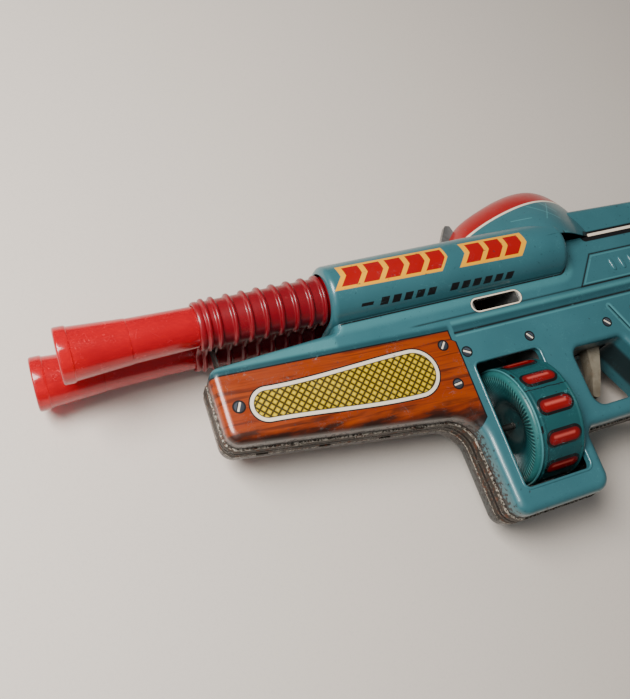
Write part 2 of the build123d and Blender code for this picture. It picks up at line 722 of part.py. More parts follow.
# ---------------------------------------------------------------- all the pieces
def pieces():
    """Every piece by name, in building axes."""
    shell = body_shell()
    cover = sleeve()
    lay_phase = 0.0
    crank_phase = phase_above(small_teeth, lay_phase, big_teeth)
    idler_1_phase = phase_below(small_teeth, lay_phase, idler_1_teeth)
    idler_2_phase = phase_below(idler_1_teeth, idler_1_phase, idler_2_teeth)
    drum_phase = phase_below(idler_2_teeth, idler_2_phase, big_teeth)
    motor_phase = phase_above(big_teeth, lay_phase, small_teeth)
    held = shaft_r + fit_gap
    free = shaft_r + run_gap
    gear_bores = [(free, crank_y), (free, layshaft_y), (free, drum_y)]
    motor_bores = [(motor_shaft_r + 1.0, motor_y), (free, layshaft_y)]
    left_pin_x = rocker_x + stroke / 2
    return {
        "shell_left": half_of(shell, 1),
        "shell_right": half_of(shell, -1),
        "seam_strip": seam_strip(),
        "shell_tabs": shell_tabs(),
        "front_sight": front_sight(),
        "sleeve_left": half_of(cover, 1),
        "sleeve_right": half_of(cover, -1),
        "sleeve_bracket": sleeve_bracket(),
        "barrel_left": barrel(0, bz),
        "barrel_right": barrel(-stroke, -bz),
        "carriage_left": carriage(left_pin_x, bz),
        "carriage_right": carriage(left_pin_x - stroke, -bz),
        "rocker_arm": rocker_arm(),
        "rocker_post": rocker_post(),
        "rocker_bracket": rocker_bracket(),
        "lamp_glass": lamp_glass(),
        "lamp_base": rod_x(lamp_base_r, lamp_x, lamp_x + 7),
        "lamp_holder": lamp_holder(),
        "crank_disc": crank_disc(),
        "crank_shaft": rod_x(shaft_r, crank_disc_x, gear_x1 + 0.6, crank_y),
        "crank_gear": gear(big_teeth, gear_x0, gear_width, crank_y, crank_phase, held),
        "crank_plate": cross_plate(crank_plate_x, -28, 3, [(free, crank_y)], -6),
        "gear_plate": cross_plate(gear_plate_x, drum_y - 10, 3, gear_bores, 4),
        "layshaft": rod_x(shaft_r, gear_plate_x - 0.6, motor_x0 - plate / 2, layshaft_y),
        "layshaft_pinion": gear(small_teeth, gear_x0, gear_width, layshaft_y, lay_phase, held),
        "layshaft_gear": gear(big_teeth, lay_gear_x, gear_width, layshaft_y, lay_phase, held),
        "idler_1": gear(idler_1_teeth, gear_x0, gear_width, idler_1_y, idler_1_phase, free),
        "idler_1_stud": stud(idler_1_y),
        "idler_2": gear(idler_2_teeth, gear_x0, gear_width, idler_2_y, idler_2_phase, free),
        "idler_2_stud": stud(idler_2_y),
        "drum_gear": gear(big_teeth, gear_x0, gear_width, drum_y, drum_phase, held),
        "drum_shaft": rod_x(shaft_r, drum_plate_x - 0.6, gear_x1 + 0.5, drum_y),
        "drum_shell": drum_shell(),
        "drum_front_disc": drum_front_disc(),
        "drum_rear_disc": drum_rear_disc(),
        "drum_plate": cross_plate(drum_plate_x, drum_y - 12, drum_y + 12, [(free, drum_y)], 0),
        "motor_can": motor_can(),
        "motor_cap": motor_cap(),
        "motor_shaft": rod_x(motor_shaft_r, lay_gear_x - 0.8, motor_x0 + motor_len - 1.4, motor_y),
        "motor_armature": rod_x(motor_r - 3.0, motor_x0 + 4, motor_x0 + 22, motor_y)
        - rod_x(motor_shaft_r + fit_gap, 0, 400, motor_y),
        "motor_pinion": gear(small_teeth, lay_gear_x, gear_width, motor_y, motor_phase,
                             motor_shaft_r + fit_gap),
        "motor_plate": cross_plate(motor_plate_x, -50, 2, motor_bores, -4),
        "trigger": trigger(),
        "trigger_pin": rod_z(shaft_r, -inner_half, inner_half, *trigger_pivot),
        "trigger_spring": trigger_spring(),
        "switch_block": box(switch_x, motor_plate_x, -50, -44.6, -6, 6),
        "switch_blades": switch_blades(),
        "cell_plate": oval(cell_plate_x, cell_plate_x + plate, housing_r - sheet, housing_z),
        "front_contacts": front_contacts(),
        "cell_left": cell(housing_z, False),
        "cell_right": cell(-housing_z, True),
        "battery_door": battery_door(),
        "door_contact": door_contact(),
        "door_hinge_leaf": door_hinge_leaf(),
        "door_hinge_pin": rod_z(hinge_pin_r, -knuckle_end, knuckle_end, butt_x1, hinge_y),
        "door_catch": box(butt_x1 - 8, butt_x1 - 0.2, housing_r, housing_r + strip_sheet, -4, 4),
    }


def resting_shift(parts):
    """Move that puts the middle of the whole set's underside at the origin."""
    boxes = [shape.bounding_box() for shape in parts.values()]
    low = [min(getattr(b.min, a) for b in boxes) for a in "XYZ"]
    high = [max(getattr(b.max, a) for b in boxes) for a in "XYZ"]
    return (-(low[0] + high[0]) / 2, -(low[1] + high[1]) / 2, -low[2])


def main():
    """Build, place and write every piece."""
    parts = pieces()
    shift = resting_shift(parts)
    os.makedirs("parts", exist_ok=True)
    for name, shape in parts.items():
        export_step(Pos(*shift) * shape, f"parts/{name}.step")
    print("shift", [round(v, 4) for v in shift])


if __name__ == "__main__":
    main()
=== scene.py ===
import logging
import math
from dataclasses import dataclass
from enum import Enum
from typing import Any, Sequence, Union

import bmesh
import bpy
import numpy as np
from mathutils import Matrix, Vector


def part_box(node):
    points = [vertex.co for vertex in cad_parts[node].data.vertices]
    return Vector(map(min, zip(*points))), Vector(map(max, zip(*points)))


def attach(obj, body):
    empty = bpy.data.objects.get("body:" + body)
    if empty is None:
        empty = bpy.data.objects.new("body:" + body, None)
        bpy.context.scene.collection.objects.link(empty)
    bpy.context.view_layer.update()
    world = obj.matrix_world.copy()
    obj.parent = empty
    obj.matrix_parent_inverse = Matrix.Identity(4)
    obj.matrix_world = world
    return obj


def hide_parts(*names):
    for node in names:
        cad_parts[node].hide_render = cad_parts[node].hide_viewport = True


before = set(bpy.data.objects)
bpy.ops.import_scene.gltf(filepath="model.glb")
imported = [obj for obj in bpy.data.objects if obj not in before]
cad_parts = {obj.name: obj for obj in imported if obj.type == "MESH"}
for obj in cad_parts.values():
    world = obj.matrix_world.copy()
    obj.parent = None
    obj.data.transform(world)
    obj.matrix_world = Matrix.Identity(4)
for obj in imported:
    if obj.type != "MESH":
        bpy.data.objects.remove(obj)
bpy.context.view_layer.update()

# Looks of a double-barrelled tin space gun that lies on its right side.
# Sizes are millimetres in the gun's own axes: X from the left barrel's muzzle to the butt,
# Y to the gun's top from the height of the barrels, and Z out of its left side from the seam.

log = logging.getLogger("space_gun")
MM = 0.001
Colour = tuple[float, float, float, float]


# ------------------------------------------------------------------ axes and sizes
class GunAxes:
    """Turns the gun's own millimetres into the frame's metres."""

    def __init__(self) -> None:
        """Reads the zero point from the boxes of the two barrels."""
        low, high = (np.array(corner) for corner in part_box("barrel_left"))
        low_right, high_right = (np.array(corner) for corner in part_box("barrel_right"))
        seam = (low[2] + high[2] + low_right[2] + high_right[2]) / 4
        self.zero = np.array([low[0], (low[1] + high[1]) / 2, seam])

    def metres(self, points: np.ndarray) -> np.ndarray:
        """Points in the frame.

        Args:
            points: array whose last axis is X, Y, Z in the gun's millimetres.

        Returns:
            The same array in metres in the frame.
        """
        return points * MM + self.zero


AXES = GunAxes()


@dataclass(frozen=True)
class BodySizes:
    """Sizes of the tin body that more than one part needs."""

    housing_r: float = 14.4
    lobe_z: float = 13.6
    half: float = 16.0
    strip_half: float = 5.5
    fore_front_x: float = 56.0
    fore_low_y: float = -54.0
    fore_slope: float = 0.139


BODY = BodySizes()


def ink(red: float, green: float, blue: float) -> Colour:
    """Colour of an ink or metal for a shader.

    Args:
        red, green, blue: display values from 0 to 255.

    Returns:
        The linear colour with an alpha of 1.
    """
    shares = (value / 255 for value in (red, green, blue))
    linear = (s / 12.92 if s <= 0.04045 else ((s + 0.055) / 1.055) ** 2.4 for s in shares)
    return (*linear, 1.0)


class Ink(Enum):
    """Colours that the tin is printed in."""

    TEAL = ink(54, 104, 112)
    # The deeper teal is for random tone and chip rims, and for painted shade beside grooves and
    # edges; the paler teal is for light scratches, and for painted highlights beside grooves,
    # edges, the step and the drum's rim.
    TEAL_DEEP = ink(10, 50, 58)
    TEAL_PALE = ink(92, 158, 162)
    RED = ink(160, 0, 0)
    YELLOW = ink(246, 170, 0)
    CREAM = ink(236, 222, 200)
    BLACK = ink(12, 10, 10)
    ORANGE = ink(136, 46, 0)
    ORANGE_PALE = ink(154, 62, 0)
    BROWN = ink(72, 20, 0)
    UMBER = ink(26, 14, 8)
    OLIVE = ink(58, 46, 4)
    STRAW = ink(186, 156, 0)
    STRAW_HIGHLIGHT = ink(226, 196, 36)
    # The paler straw is a painted highlight on the middle of each raised cell of the crosshatch.
    SCREW = ink(62, 68, 78)
    RUST = ink(96, 52, 26)
    DRUM = ink(22, 76, 78)
    DRUM_DEEP = ink(6, 60, 68)
    # The disc's teal is lighter than the drum's, brightened as painted light; the disc's deep ink
    # is painted shade in its dished middle, and the two flute inks are painted shade and painted
    # highlight on the flutes.
    DISC = ink(40, 100, 99)
    DISC_SHADE = ink(4, 26, 30)
    FLUTE_SHADE = ink(2, 34, 38)
    FLUTE_HIGHLIGHT = ink(120, 184, 178)
    CAPSULE = ink(128, 0, 2)
    # The darker and paler capsule inks are painted shade inside each capsule's edge and a painted
    # highlight along it.
    CAPSULE_SHADE = ink(70, 0, 2)
    CAPSULE_HIGHLIGHT = ink(206, 92, 80)


# ------------------------------------------------------------------ node helpers
Number = Union["Field", float]


class Field:
    """A number that varies over a surface, held as an output socket of a node tree."""

    def __init__(self, tree: bpy.types.NodeTree, socket: bpy.types.NodeSocket) -> None:
        """Keeps the tree and the socket."""
        self.tree = tree
        self.socket = socket

    def apply(self, operation: str, *others: Number, clamp: bool = False) -> "Field":
        """Result of a Math node on this field.

        Args:
            operation: name of the node's operation.
            others: its further inputs.
            clamp: keeps the result between 0 and 1.

        Returns:
            The node's output.
        """
        node = self.tree.nodes.new("ShaderNodeMath")
        node.operation = operation
        node.use_clamp = clamp
        self.tree.links.new(self.socket, node.inputs[0])
        for number, other in enumerate(others):
            feed(self.tree, node.inputs[number + 1], other)
        return Field(self.tree, node.outputs[0])

    def __add__(self, other: Number) -> "Field":
        """Sum."""
        return self.apply("ADD", other)

    def __sub__(self, other: Number) -> "Field":
        """Difference."""
        return self.apply("SUBTRACT", other)

    def __rsub__(self, other: float) -> "Field":
        """A plain number less this field."""
        return self.apply("MULTIPLY_ADD", -1.0, other)

    def __mul__(self, other: Number) -> "Field":
        """Product."""
        return self.apply("MULTIPLY", other)

    def __truediv__(self, other: Number) -> "Field":
        """Quotient."""
        return self.apply("DIVIDE", other)

    def __neg__(self) -> "Field":
        """Opposite."""
        return self.apply("MULTIPLY", -1.0)

    def __abs__(self) -> "Field":
        """Size without its sign."""
        return self.apply("ABSOLUTE")

    def least(self, other: Number) -> "Field":
        """The smaller of two."""
        return self.apply("MINIMUM", other)

    def most(self, other: Number) -> "Field":
        """The larger of two."""
        return self.apply("MAXIMUM", other)

    def root(self) -> "Field":
        """Square root."""
        return self.apply("SQRT")

    def away(self, span: float) -> "Field":
        """Distance to the nearest whole multiple of twice span."""
        return self.apply("PINGPONG", span)

    def above(self, edge: float, soft: float = 0.15) -> "Field":
        """1 above the edge and 0 below it, blended over twice soft.

        Args:
            edge: value at the middle of the blend.
            soft: half the blend's width.

        Returns:
            The mask.
        """
        node = self.tree.nodes.new("ShaderNodeMapRange")
        node.interpolation_type = "SMOOTHSTEP"
        self.tree.links.new(self.socket, node.inputs["Value"])
        node.inputs["From Min"].default_value = edge - soft
        node.inputs["From Max"].default_value = edge + soft
        return Field(self.tree, node.outputs["Result"])

    def below(self, edge: float, soft: float = 0.15) -> "Field":
        """1 below the edge and 0 above it."""
        return 1.0 - self.above(edge, soft)

    def between(self, low: float, high: float, soft: float = 0.15) -> "Field":
        """1 between two values and 0 outside them."""
        middle = (low + high) / 2
        return abs(self - middle).below((high - low) / 2, soft)


class Paint:
    """A colour that varies over a surface, laid on coat by coat."""

    def __init__(self, tree: bpy.types.NodeTree, base: Any) -> None:
        """Starts from a plain colour, an ink or a colour socket."""
        self.tree = tree
        self.base = base.value if isinstance(base, Ink) else base

    def coat(self, mask: Number, colour: Any) -> "Paint":
        """Lays a colour on where the mask is 1.

        Args:
            mask: how much of the new colour covers the old.
            colour: an ink, a plain colour or another paint.

        Returns:
            The paint with the new coat.
        """
        node = self.tree.nodes.new("ShaderNodeMix")
        node.data_type = "RGBA"
        feed(self.tree, node.inputs[0], mask)
        feed(self.tree, node.inputs[6], self.base)
        feed(self.tree, node.inputs[7], colour)
        return Paint(self.tree, node.outputs[2])


def feed(tree: bpy.types.NodeTree, socket: bpy.types.NodeSocket, value: Any) -> None:
    """Links or sets an input socket.

    Args:
        tree: the node tree.
        socket: the input to feed.
        value: a field, a paint, an ink, a socket or a plain value.
    """
    if isinstance(value, Ink):
        value = value.value
    if isinstance(value, Paint):
        value = value.base
    if isinstance(value, Field):
        value = value.socket
    if isinstance(value, bpy.types.NodeSocket):
        tree.links.new(value, socket)
    else:
        socket.default_value = value


def vector_of(tree: bpy.types.NodeTree, x: Number, y: Number, z: Number) -> Any:
    """Vector socket made of three numbers.

    Args:
        tree: the node tree.
        x, y, z: the three parts.

    Returns:
        The output socket of a Combine XYZ node.
    """
    node = tree.nodes.new("ShaderNodeCombineXYZ")
    for number, part in enumerate((x, y, z)):
        feed(tree, node.inputs[number], part)
    return node.outputs[0]


def noise(tree: bpy.types.NodeTree, vector: Any, scale: float, detail: float = 3.0,
          distortion: float = 0.0) -> Field:
    """Cloudy noise from 0 to 1.

    Args:
        tree: the node tree.
        vector: socket with the place.
        scale: lumps for each unit of the vector.
        detail: octaves.
        distortion: how much the lumps are bent.

    Returns:
        The noise.
    """
    node = tree.nodes.new("ShaderNodeTexNoise")
    tree.links.new(vector, node.inputs["Vector"])
    node.inputs["Scale"].default_value = scale
    node.inputs["Detail"].default_value = detail
    node.inputs["Distortion"].default_value = distortion
    return Field(tree, node.outputs[0])


def bar_distance(x: Field, y: Field, start: Sequence[float], end: Sequence[float],
                 radius: float) -> Field:
    """Distance to a round-ended bar, negative inside it.

    The distance to the nearest point of the bar's middle line, less its radius.

    Args:
        x, y: place in the plane.
        start, end: ends of the bar's middle line.
        radius: half its width.

    Returns:
        The distance.
    """
    run_x, run_y = end[0] - start[0], end[1] - start[1]
    from_x, from_y = x - start[0], y - start[1]
    square = run_x * run_x + run_y * run_y
    share = (from_x * (run_x / square) + from_y * (run_y / square)).apply("ADD", 0.0, clamp=True)
    off_x, off_y = from_x - share * run_x, from_y - share * run_y
    return (off_x * off_x + off_y * off_y).root() - radius


def panel_distance(x: Field, y: Field, middle: Sequence[float], half: Sequence[float],
                   radius: float) -> Field:
    """Distance to a rectangle with rounded corners, negative inside it.

    Args:
        x, y: place in the plane.
        middle: its centre.
        half: half its length and width.
        radius: radius of its corners.

    Returns:
        The distance.
    """
    over_x = abs(x - middle[0]) - (half[0] - radius)
    over_y = abs(y - middle[1]) - (half[1] - radius)
    out_x, out_y = over_x.most(0.0), over_y.most(0.0)
    return (out_x * out_x + out_y * out_y).root() + over_x.most(over_y).least(0.0) - radius


# ------------------------------------------------------------------ shared shader groups
class ShaderGroup:
    """A shader node group with named sockets, built once and placed where it is wanted."""

    title: str = ""
    inputs: tuple[tuple[str, str, float], ...] = ()
    outputs: tuple[tuple[str, str], ...] = ()

    def draw(self, tree: bpy.types.NodeTree, given: dict[str, Field]) -> dict[str, Any]:
        """Builds the group's nodes and returns what each output shows."""
        raise NotImplementedError

    def tree(self) -> bpy.types.NodeTree:
        """The group's node tree, built the first time it is asked for."""
        found = bpy.data.node_groups.get(self.title)
        if found:
            return found
        tree = bpy.data.node_groups.new(self.title, "ShaderNodeTree")
        for name, kind, start in self.inputs:
            socket = tree.interface.new_socket(name=name, in_out="INPUT", socket_type=kind)
            if kind == "NodeSocketFloat":
                socket.default_value = start
        for name, kind in self.outputs:
            tree.interface.new_socket(name=name, in_out="OUTPUT", socket_type=kind)
        entry = tree.nodes.new("NodeGroupInput")
        leave = tree.nodes.new("NodeGroupOutput")
        given = {name: Field(tree, entry.outputs[name]) for name, _, _ in self.inputs}
        for name, value in self.draw(tree, given).items():
            feed(tree, leave.inputs[name], value)
        return tree

    def place(self, tree: bpy.types.NodeTree, **values: Any) -> dict[str, Any]:
        """Puts the group into a tree.

        Args:
            tree: the node tree that uses it.
            values: what each named input is fed.

        Returns:
            Its outputs by name, colours as paints and numbers as fields.
        """
        node = tree.nodes.new("ShaderNodeGroup")
        node.node_tree = self.tree()
        for name, value in values.items():
            feed(tree, node.inputs[name], value)
        result = {}
        for name, kind in self.outputs:
            wrap = Paint if kind == "NodeSocketColor" else Field
            result[name] = wrap(tree, node.outputs[name])
        return result


FLOAT, COLOUR, VECTOR = "NodeSocketFloat", "NodeSocketColor", "NodeSocketVector"


class GunMeasure(ShaderGroup):
    """Object coordinates in metres turned into the gun's own millimetres."""

    title = "gun millimetres"
    inputs = (("Position", VECTOR, 0.0),)
    outputs = (("Place", VECTOR), ("X", FLOAT), ("Y", FLOAT), ("Z", FLOAT))

    def draw(self, tree: bpy.types.NodeTree, given: dict[str, Field]) -> dict[str, Any]:
        """Subtracts the zero point and scales by a thousand."""
        shift = tree.nodes.new("ShaderNodeVectorMath")
        shift.operation = "SUBTRACT"
        tree.links.new(given["Position"].socket, shift.inputs[0])
        shift.inputs[1].default_value = tuple(AXES.zero)
        scale = tree.nodes.new("ShaderNodeVectorMath")
        scale.operation = "SCALE"
        tree.links.new(shift.outputs[0], scale.inputs[0])
        scale.inputs["Scale"].default_value = 1 / MM
        split = tree.nodes.new("ShaderNodeSeparateXYZ")
        tree.links.new(scale.outputs[0], split.inputs[0])
        return {"Place": scale.outputs[0], "X": split.outputs[0], "Y": split.outputs[1],
                "Z": split.outputs[2]}


class Handling(ShaderGroup):
    """Years of handling: cloudy smudges and fine hairline scratches."""

    title = "handling marks"
    inputs = (("Place", VECTOR, 0.0), ("Smudge", FLOAT, 0.5), ("Scratch", FLOAT, 0.5))
    outputs = (("Smear", FLOAT), ("Hairline", FLOAT))

    def draw(self, tree: bpy.types.NodeTree, given: dict[str, Field]) -> dict[str, Any]:
        """Low noise for the smudges, and the thin middle band of a bent noise for scratches."""
        place = given["Place"].socket
        cloud = noise(tree, place, 0.06, 4.0, 0.6)
        smear = (cloud.above(0.5, 0.28)) * given["Smudge"]
        lines = abs(noise(tree, place, 0.22, 1.0, 2.2) - 0.5).below(0.006, 0.005)
        worn = noise(tree, place, 0.11, 2.0).above(0.56, 0.06)
        return {"Smear": smear, "Hairline": lines * worn * given["Scratch"]}


class Chips(ShaderGroup):
    """Paint chipped off: ragged spots that grow where Wear is high."""

    title = "chipped paint"
    inputs = (("Place", VECTOR, 0.0), ("Wear", FLOAT, 0.5), ("Scale", FLOAT, 1.0))
    outputs = (("Bare", FLOAT), ("Lip", FLOAT))

    def draw(self, tree: bpy.types.NodeTree, given: dict[str, Field]) -> dict[str, Any]:
        """Noise at two scales plus the wear, cut at one level."""
        place = given["Place"].socket
        node = tree.nodes.new("ShaderNodeVectorMath")
        node.operation = "SCALE"
        tree.links.new(place, node.inputs[0])
        tree.links.new(given["Scale"].socket, node.inputs["Scale"])
        coarse = noise(tree, node.outputs[0], 0.35, 5.0, 0.4)
        level = coarse + given["Wear"] * 0.5
        return {"Bare": level.above(0.80, 0.02), "Lip": level.between(0.74, 0.80, 0.02)}


class PrintedScrew(ShaderGroup):
    """A slotted screw head as a printer draws it, round its own centre."""

    title = "printed screw"
    inputs = (("X", FLOAT, 0.0), ("Y", FLOAT, 0.0), ("Radius", FLOAT, 2.6), ("Turn", FLOAT, 0.7))
    outputs = (("Color", COLOUR), ("Mask", FLOAT))

    def draw(self, tree: bpy.types.NodeTree, given: dict[str, Field]) -> dict[str, Any]:
        """Ring, disc shaded across, and a light slot with a dark side."""
        x, y = given["X"] / given["Radius"], given["Y"] / given["Radius"]
        reach = (x * x + y * y).root()
        across = x * given["Turn"].apply("SINE") - y * given["Turn"].apply("COSINE")
        paint = Paint(tree, Ink.BLACK).coat(reach.below(0.74, 0.08), Ink.SCREW)
        paint = paint.coat(across.above(0.25, 0.35) * reach.below(0.74, 0.08) * 0.5, Ink.BLACK)
        paint = paint.coat(abs(across + 0.2).below(0.1, 0.05) * reach.below(0.7, 0.05), Ink.BLACK)
        paint = paint.coat(abs(across).below(0.14, 0.05) * reach.below(0.7, 0.05), Ink.CREAM)
        return {"Color": paint, "Mask": reach.below(1.0, 0.06)}


class WoodPrint(ShaderGroup):
    """Printed wood: orange ground with long red-brown streaks along U."""

    title = "printed wood"
    inputs = (("U", FLOAT, 0.0), ("V", FLOAT, 0.0))
    outputs = (("Color", COLOUR),)

    def draw(self, tree: bpy.types.NodeTree, given: dict[str, Field]) -> dict[str, Any]:
        """Noise drawn out along the grain, cut at several levels."""
        along, over = given["U"], given["V"]
        broad = noise(tree, vector_of(tree, along * 0.018, over * 0.16, 0.0), 1.0, 4.0, 0.9)
        streak = noise(tree, vector_of(tree, along * 0.03, over * 0.45, 7.0), 1.0, 5.0, 0.6)
        fine = noise(tree, vector_of(tree, along * 0.06, over * 1.8, 3.0), 1.0, 3.0)
        paint = Paint(tree, Ink.ORANGE).coat(broad.above(0.5, 0.12) * 0.55, Ink.ORANGE_PALE)
        paint = paint.coat(streak.above(0.6, 0.07) * 0.75, Ink.BROWN)
        paint = paint.coat(fine.above(0.6, 0.08) * 0.35, Ink.BROWN)
        return {"Color": paint}


class Crosshatch(ShaderGroup):
    """Yellow crosshatch in a white border with thin dark lines; D is the border's distance."""

    title = "crosshatch inlay"
    inputs = (("U", FLOAT, 0.0), ("V", FLOAT, 0.0), ("D", FLOAT, 0.0))
    outputs = (("Color", COLOUR), ("Mask", FLOAT))
    pitch: float = 2.55
    border: float = 1.6

    def draw(self, tree: bpy.types.NodeTree, given: dict[str, Field]) -> dict[str, Any]:
        """Two families of slanting lines over a painted highlight in the middle of each cell."""
        scale = math.sqrt(0.5) / self.pitch
        one = ((given["U"] + given["V"]) * scale).away(0.5)
        two = ((given["U"] - given["V"]) * scale).away(0.5)
        nearest = one.least(two)
        far = given["D"]
        cells = Paint(tree, Ink.OLIVE).coat(nearest.above(0.16, 0.05), Ink.STRAW)
        # painted highlight on the middle of each raised cell
        cells = cells.coat(nearest.above(0.33, 0.1) * 0.8, Ink.STRAW_HIGHLIGHT)
        paint = Paint(tree, Ink.BLACK).coat(far.below(-0.05, 0.12), Ink.CREAM)
        paint = paint.coat(far.below(-self.border, 0.12), Ink.OLIVE)
        paint = paint.coat(far.below(-self.border - 0.4, 0.12), cells)
        return {"Color": paint, "Mask": far.below(0.55, 0.12)}


@dataclass
class Plate:
    """What one printing step works on: the place in the gun's axes and the coats so far."""

    tree: bpy.types.NodeTree
    place: Field
    x: Field
    y: Field
    z: Field
    side: Field
    flat: Field
    paint: Paint
    height: Number = 0.0
    bare: Number = 0.0

    def lay(self, mask: Number, colour: Any) -> None:
        """Lays a colour on where the mask is 1."""
        self.paint = self.paint.coat(mask, colour)

    def on_flat(self, mask: Field, colour: Any) -> None:
        """Lays a colour on the body's flat sides only."""
        self.lay(mask * self.flat, colour)

    def emboss(self, mask: Field, depth: float) -> None:
        """Raises the tin, or sinks it where the depth is negative, in millimetres."""
        self.height = mask * depth + self.height


class TinPrint(ShaderGroup):
    """Everything printed on the body's tin, and the low relief stamped with it."""

    title = "tin print"
    inputs = (("Place", VECTOR, 0.0), ("X", FLOAT, 0.0), ("Y", FLOAT, 0.0), ("Z", FLOAT, 0.0))
    outputs = (("Color", COLOUR), ("Height", FLOAT), ("Bare", FLOAT))

    # x, y, radius and slot angle of each printed screw
    screws = (
        (64.2, -39.8, 2.9, 1.1), (162.2, -35.5, 2.7, 0.9), (162.0, -54.4, 2.7, 0.1),
        (172.4, -41.1, 2.7, -0.5), (206.5, -41.2, 2.6, -0.9), (250.4, -44.1, 2.6, -0.8),
        (309.0, -41.0, 2.6, 0.4), (318.0, 16.0, 2.0, 0.2),
    )
    # ends of light scratches on the bulge's side
    scratches = (
        ((236.0, 24.5), (247.0, 12.0)), ((248.5, 25.0), (239.0, 13.0)),
        ((243.0, 28.0), (249.0, 17.0)), ((222.0, 17.0), (232.0, 15.6)),
    )
    # middle, half width and ink of each ring round the battery housing
    rings = ((320.5, 1.3, Ink.YELLOW), (323.6, 0.7, Ink.RED),
             (364.0, 0.7, Ink.RED), (367.0, 1.3, Ink.YELLOW))
    # lowest and highest y, softness, ink and strength of each line along the body: the deep teal
    # band is painted shade above the groove, the pale lines are painted highlights beside it, and
    # the black line is the groove
    lines = (
        (-31.0, -25.5, 2.4, Ink.TEAL_DEEP, 0.65), (-27.2, -25.2, 1.0, Ink.TEAL_PALE, 0.45),
        (-31.7, -30.7, 0.3, Ink.BLACK, 0.92), (-33.0, -32.2, 0.35, Ink.TEAL_PALE, 0.4),
    )

    def draw(self, tree: bpy.types.NodeTree, given: dict[str, Field]) -> dict[str, Any]:
        """Lays the coats on in the printer's order, then the wear."""
        side = abs(given["Z"])
        flat = side.above(BODY.half - 0.45, 0.2)
        cloud = noise(tree, given["Place"].socket, 0.035, 3.0).above(0.5, 0.3)
        paint = Paint(tree, Ink.TEAL).coat(cloud * 0.22, Ink.TEAL_DEEP)
        plate = Plate(tree, given["Place"], given["X"], given["Y"], given["Z"], side, flat, paint)
        for step in (self.grooves, self.rear_panels, self.fore_end, self.grip, self.port,
                     self.bulge, self.flashes, self.screw_heads, self.wear):
            step(plate)
        return {"Color": plate.paint, "Height": plate.height, "Bare": plate.bare}

    def grooves(self, plate: Plate) -> None:
        """Dark stamped lines under the housing and along the body, with painted shade and painted
        highlight bands beside them.
        """
        x, y, flat = plate.x, plate.y, plate.flat
        over_x, over_y = (x - 236.9).most(0.0), (-y - 10.1).most(0.0)
        lower = (over_x * over_x + over_y * over_y).root() - 4.5
        ahead = x.above(112.0, 1.0) * y.below(3.0, 1.0) * flat
        # painted highlight: a pale band on the body just under the housing
        plate.lay(lower.between(0.2, 4.5, 1.5) * ahead * 0.25, Ink.TEAL_PALE)
        # dark joint line where the housing meets the body, also painted shade under the housing's
        # overhang
        plate.lay(lower.between(-0.2, 0.6, 0.25) * ahead, Ink.BLACK)
        long = x.above(170.0, 0.4) * x.below(316.0, 0.6) * flat
        upper_long = x.above(152.0, 3.0) * x.below(316.0, 0.6) * flat
        # lays the table's lines: painted shade, painted highlights and the black groove line
        for low, high, soft, colour, strength in self.lines:
            plate.lay(y.between(low, high, soft) * long * strength, colour)
        plate.lay(y.between(-24.1, -23.4, 0.3) * upper_long * 0.7, Ink.BLACK)
        plate.emboss(y.between(-31.8, -30.6, 0.6) * long, -0.4)
        plate.emboss(y.between(-24.2, -23.3, 0.5) * upper_long, -0.3)
        plate.emboss(lower.between(-0.3, 0.7, 0.5) * ahead, -0.35)

    def rear_panels(self, plate: Plate) -> None:
        """Rail slot, louvre panel, step and dial behind the housing, with painted highlights along
        the panel's edge and beside the step.
        """
        x, y = plate.x, plate.y
        slot = bar_distance(x, y, (261.2, 1.9), (308.0, 1.9), 2.55)
        plate.on_flat(slot.below(0.0), Ink.BLACK)
        bar = bar_distance(x, y, (263.6, 2.5), (307.0, 2.5), 0.75)
        plate.on_flat(bar.below(0.0, 0.12), Ink.CREAM)
        slant = (x - 258.8) * -0.784 + (y + 7.7) * 0.62
        edge = (y + 7.7).most(slant).most(-23.7 - y).most(x - 313.0)
        plate.on_flat(edge.between(-0.35, 0.35, 0.2) * 0.9, Ink.BLACK)
        # painted highlight: a pale line inside the panel's dark edge
        plate.on_flat(edge.between(-1.5, -0.8, 0.25) * 0.35, Ink.TEAL_PALE)
        step = bar_distance(x, y, (255.7, -36.5), (261.3, -50.0), 0.45)
        # painted highlight: a pale glow round the step's line
        plate.on_flat(step.below(1.2, 0.5) * 0.45, Ink.TEAL_PALE)
        plate.on_flat(step.below(0.0, 0.2), Ink.TEAL_DEEP)
        dial_x, dial_y = x - 270.9, y + 41.7
        dial = (dial_x * dial_x + dial_y * dial_y).root()
        for radius, colour in ((4.5, Ink.BLACK), (4.1, Ink.CREAM), (2.9, Ink.RED)):
            plate.on_flat(dial.below(radius), colour)
        needle = bar_distance(dial_x, dial_y, (0.0, 0.0), (1.4, 1.7), 0.35)
        plate.on_flat(needle.below(0.0, 0.1), Ink.CREAM)
        plate.emboss(slot.below(0.0, 0.5) * plate.flat, -0.5)
        plate.emboss(edge.between(-0.4, 0.4, 0.4) * plate.flat, -0.3)
        plate.emboss(step.below(0.3, 0.6) * plate.flat, -0.3)

    def fore_end(self, plate: Plate) -> None:
        """Wood panel with its crosshatch inlay, and the teal wedge above it with a band of painted
        highlight and a band of painted shade along the wood's top edge.

        The inlay's edge is the distance to a bar whose radius grows along it.
        """
        tree, x, y = plate.tree, plate.x, plate.y
        top = y + (x - 59.0) * 0.0391 + 25.0
        right = x - 169.0 + y.above(-34.6, 0.8) * 1.7
        heel = (-72.0 - y - (169.0 - x) * 0.9) * 0.74
        wood = top.most(right).most(heel)
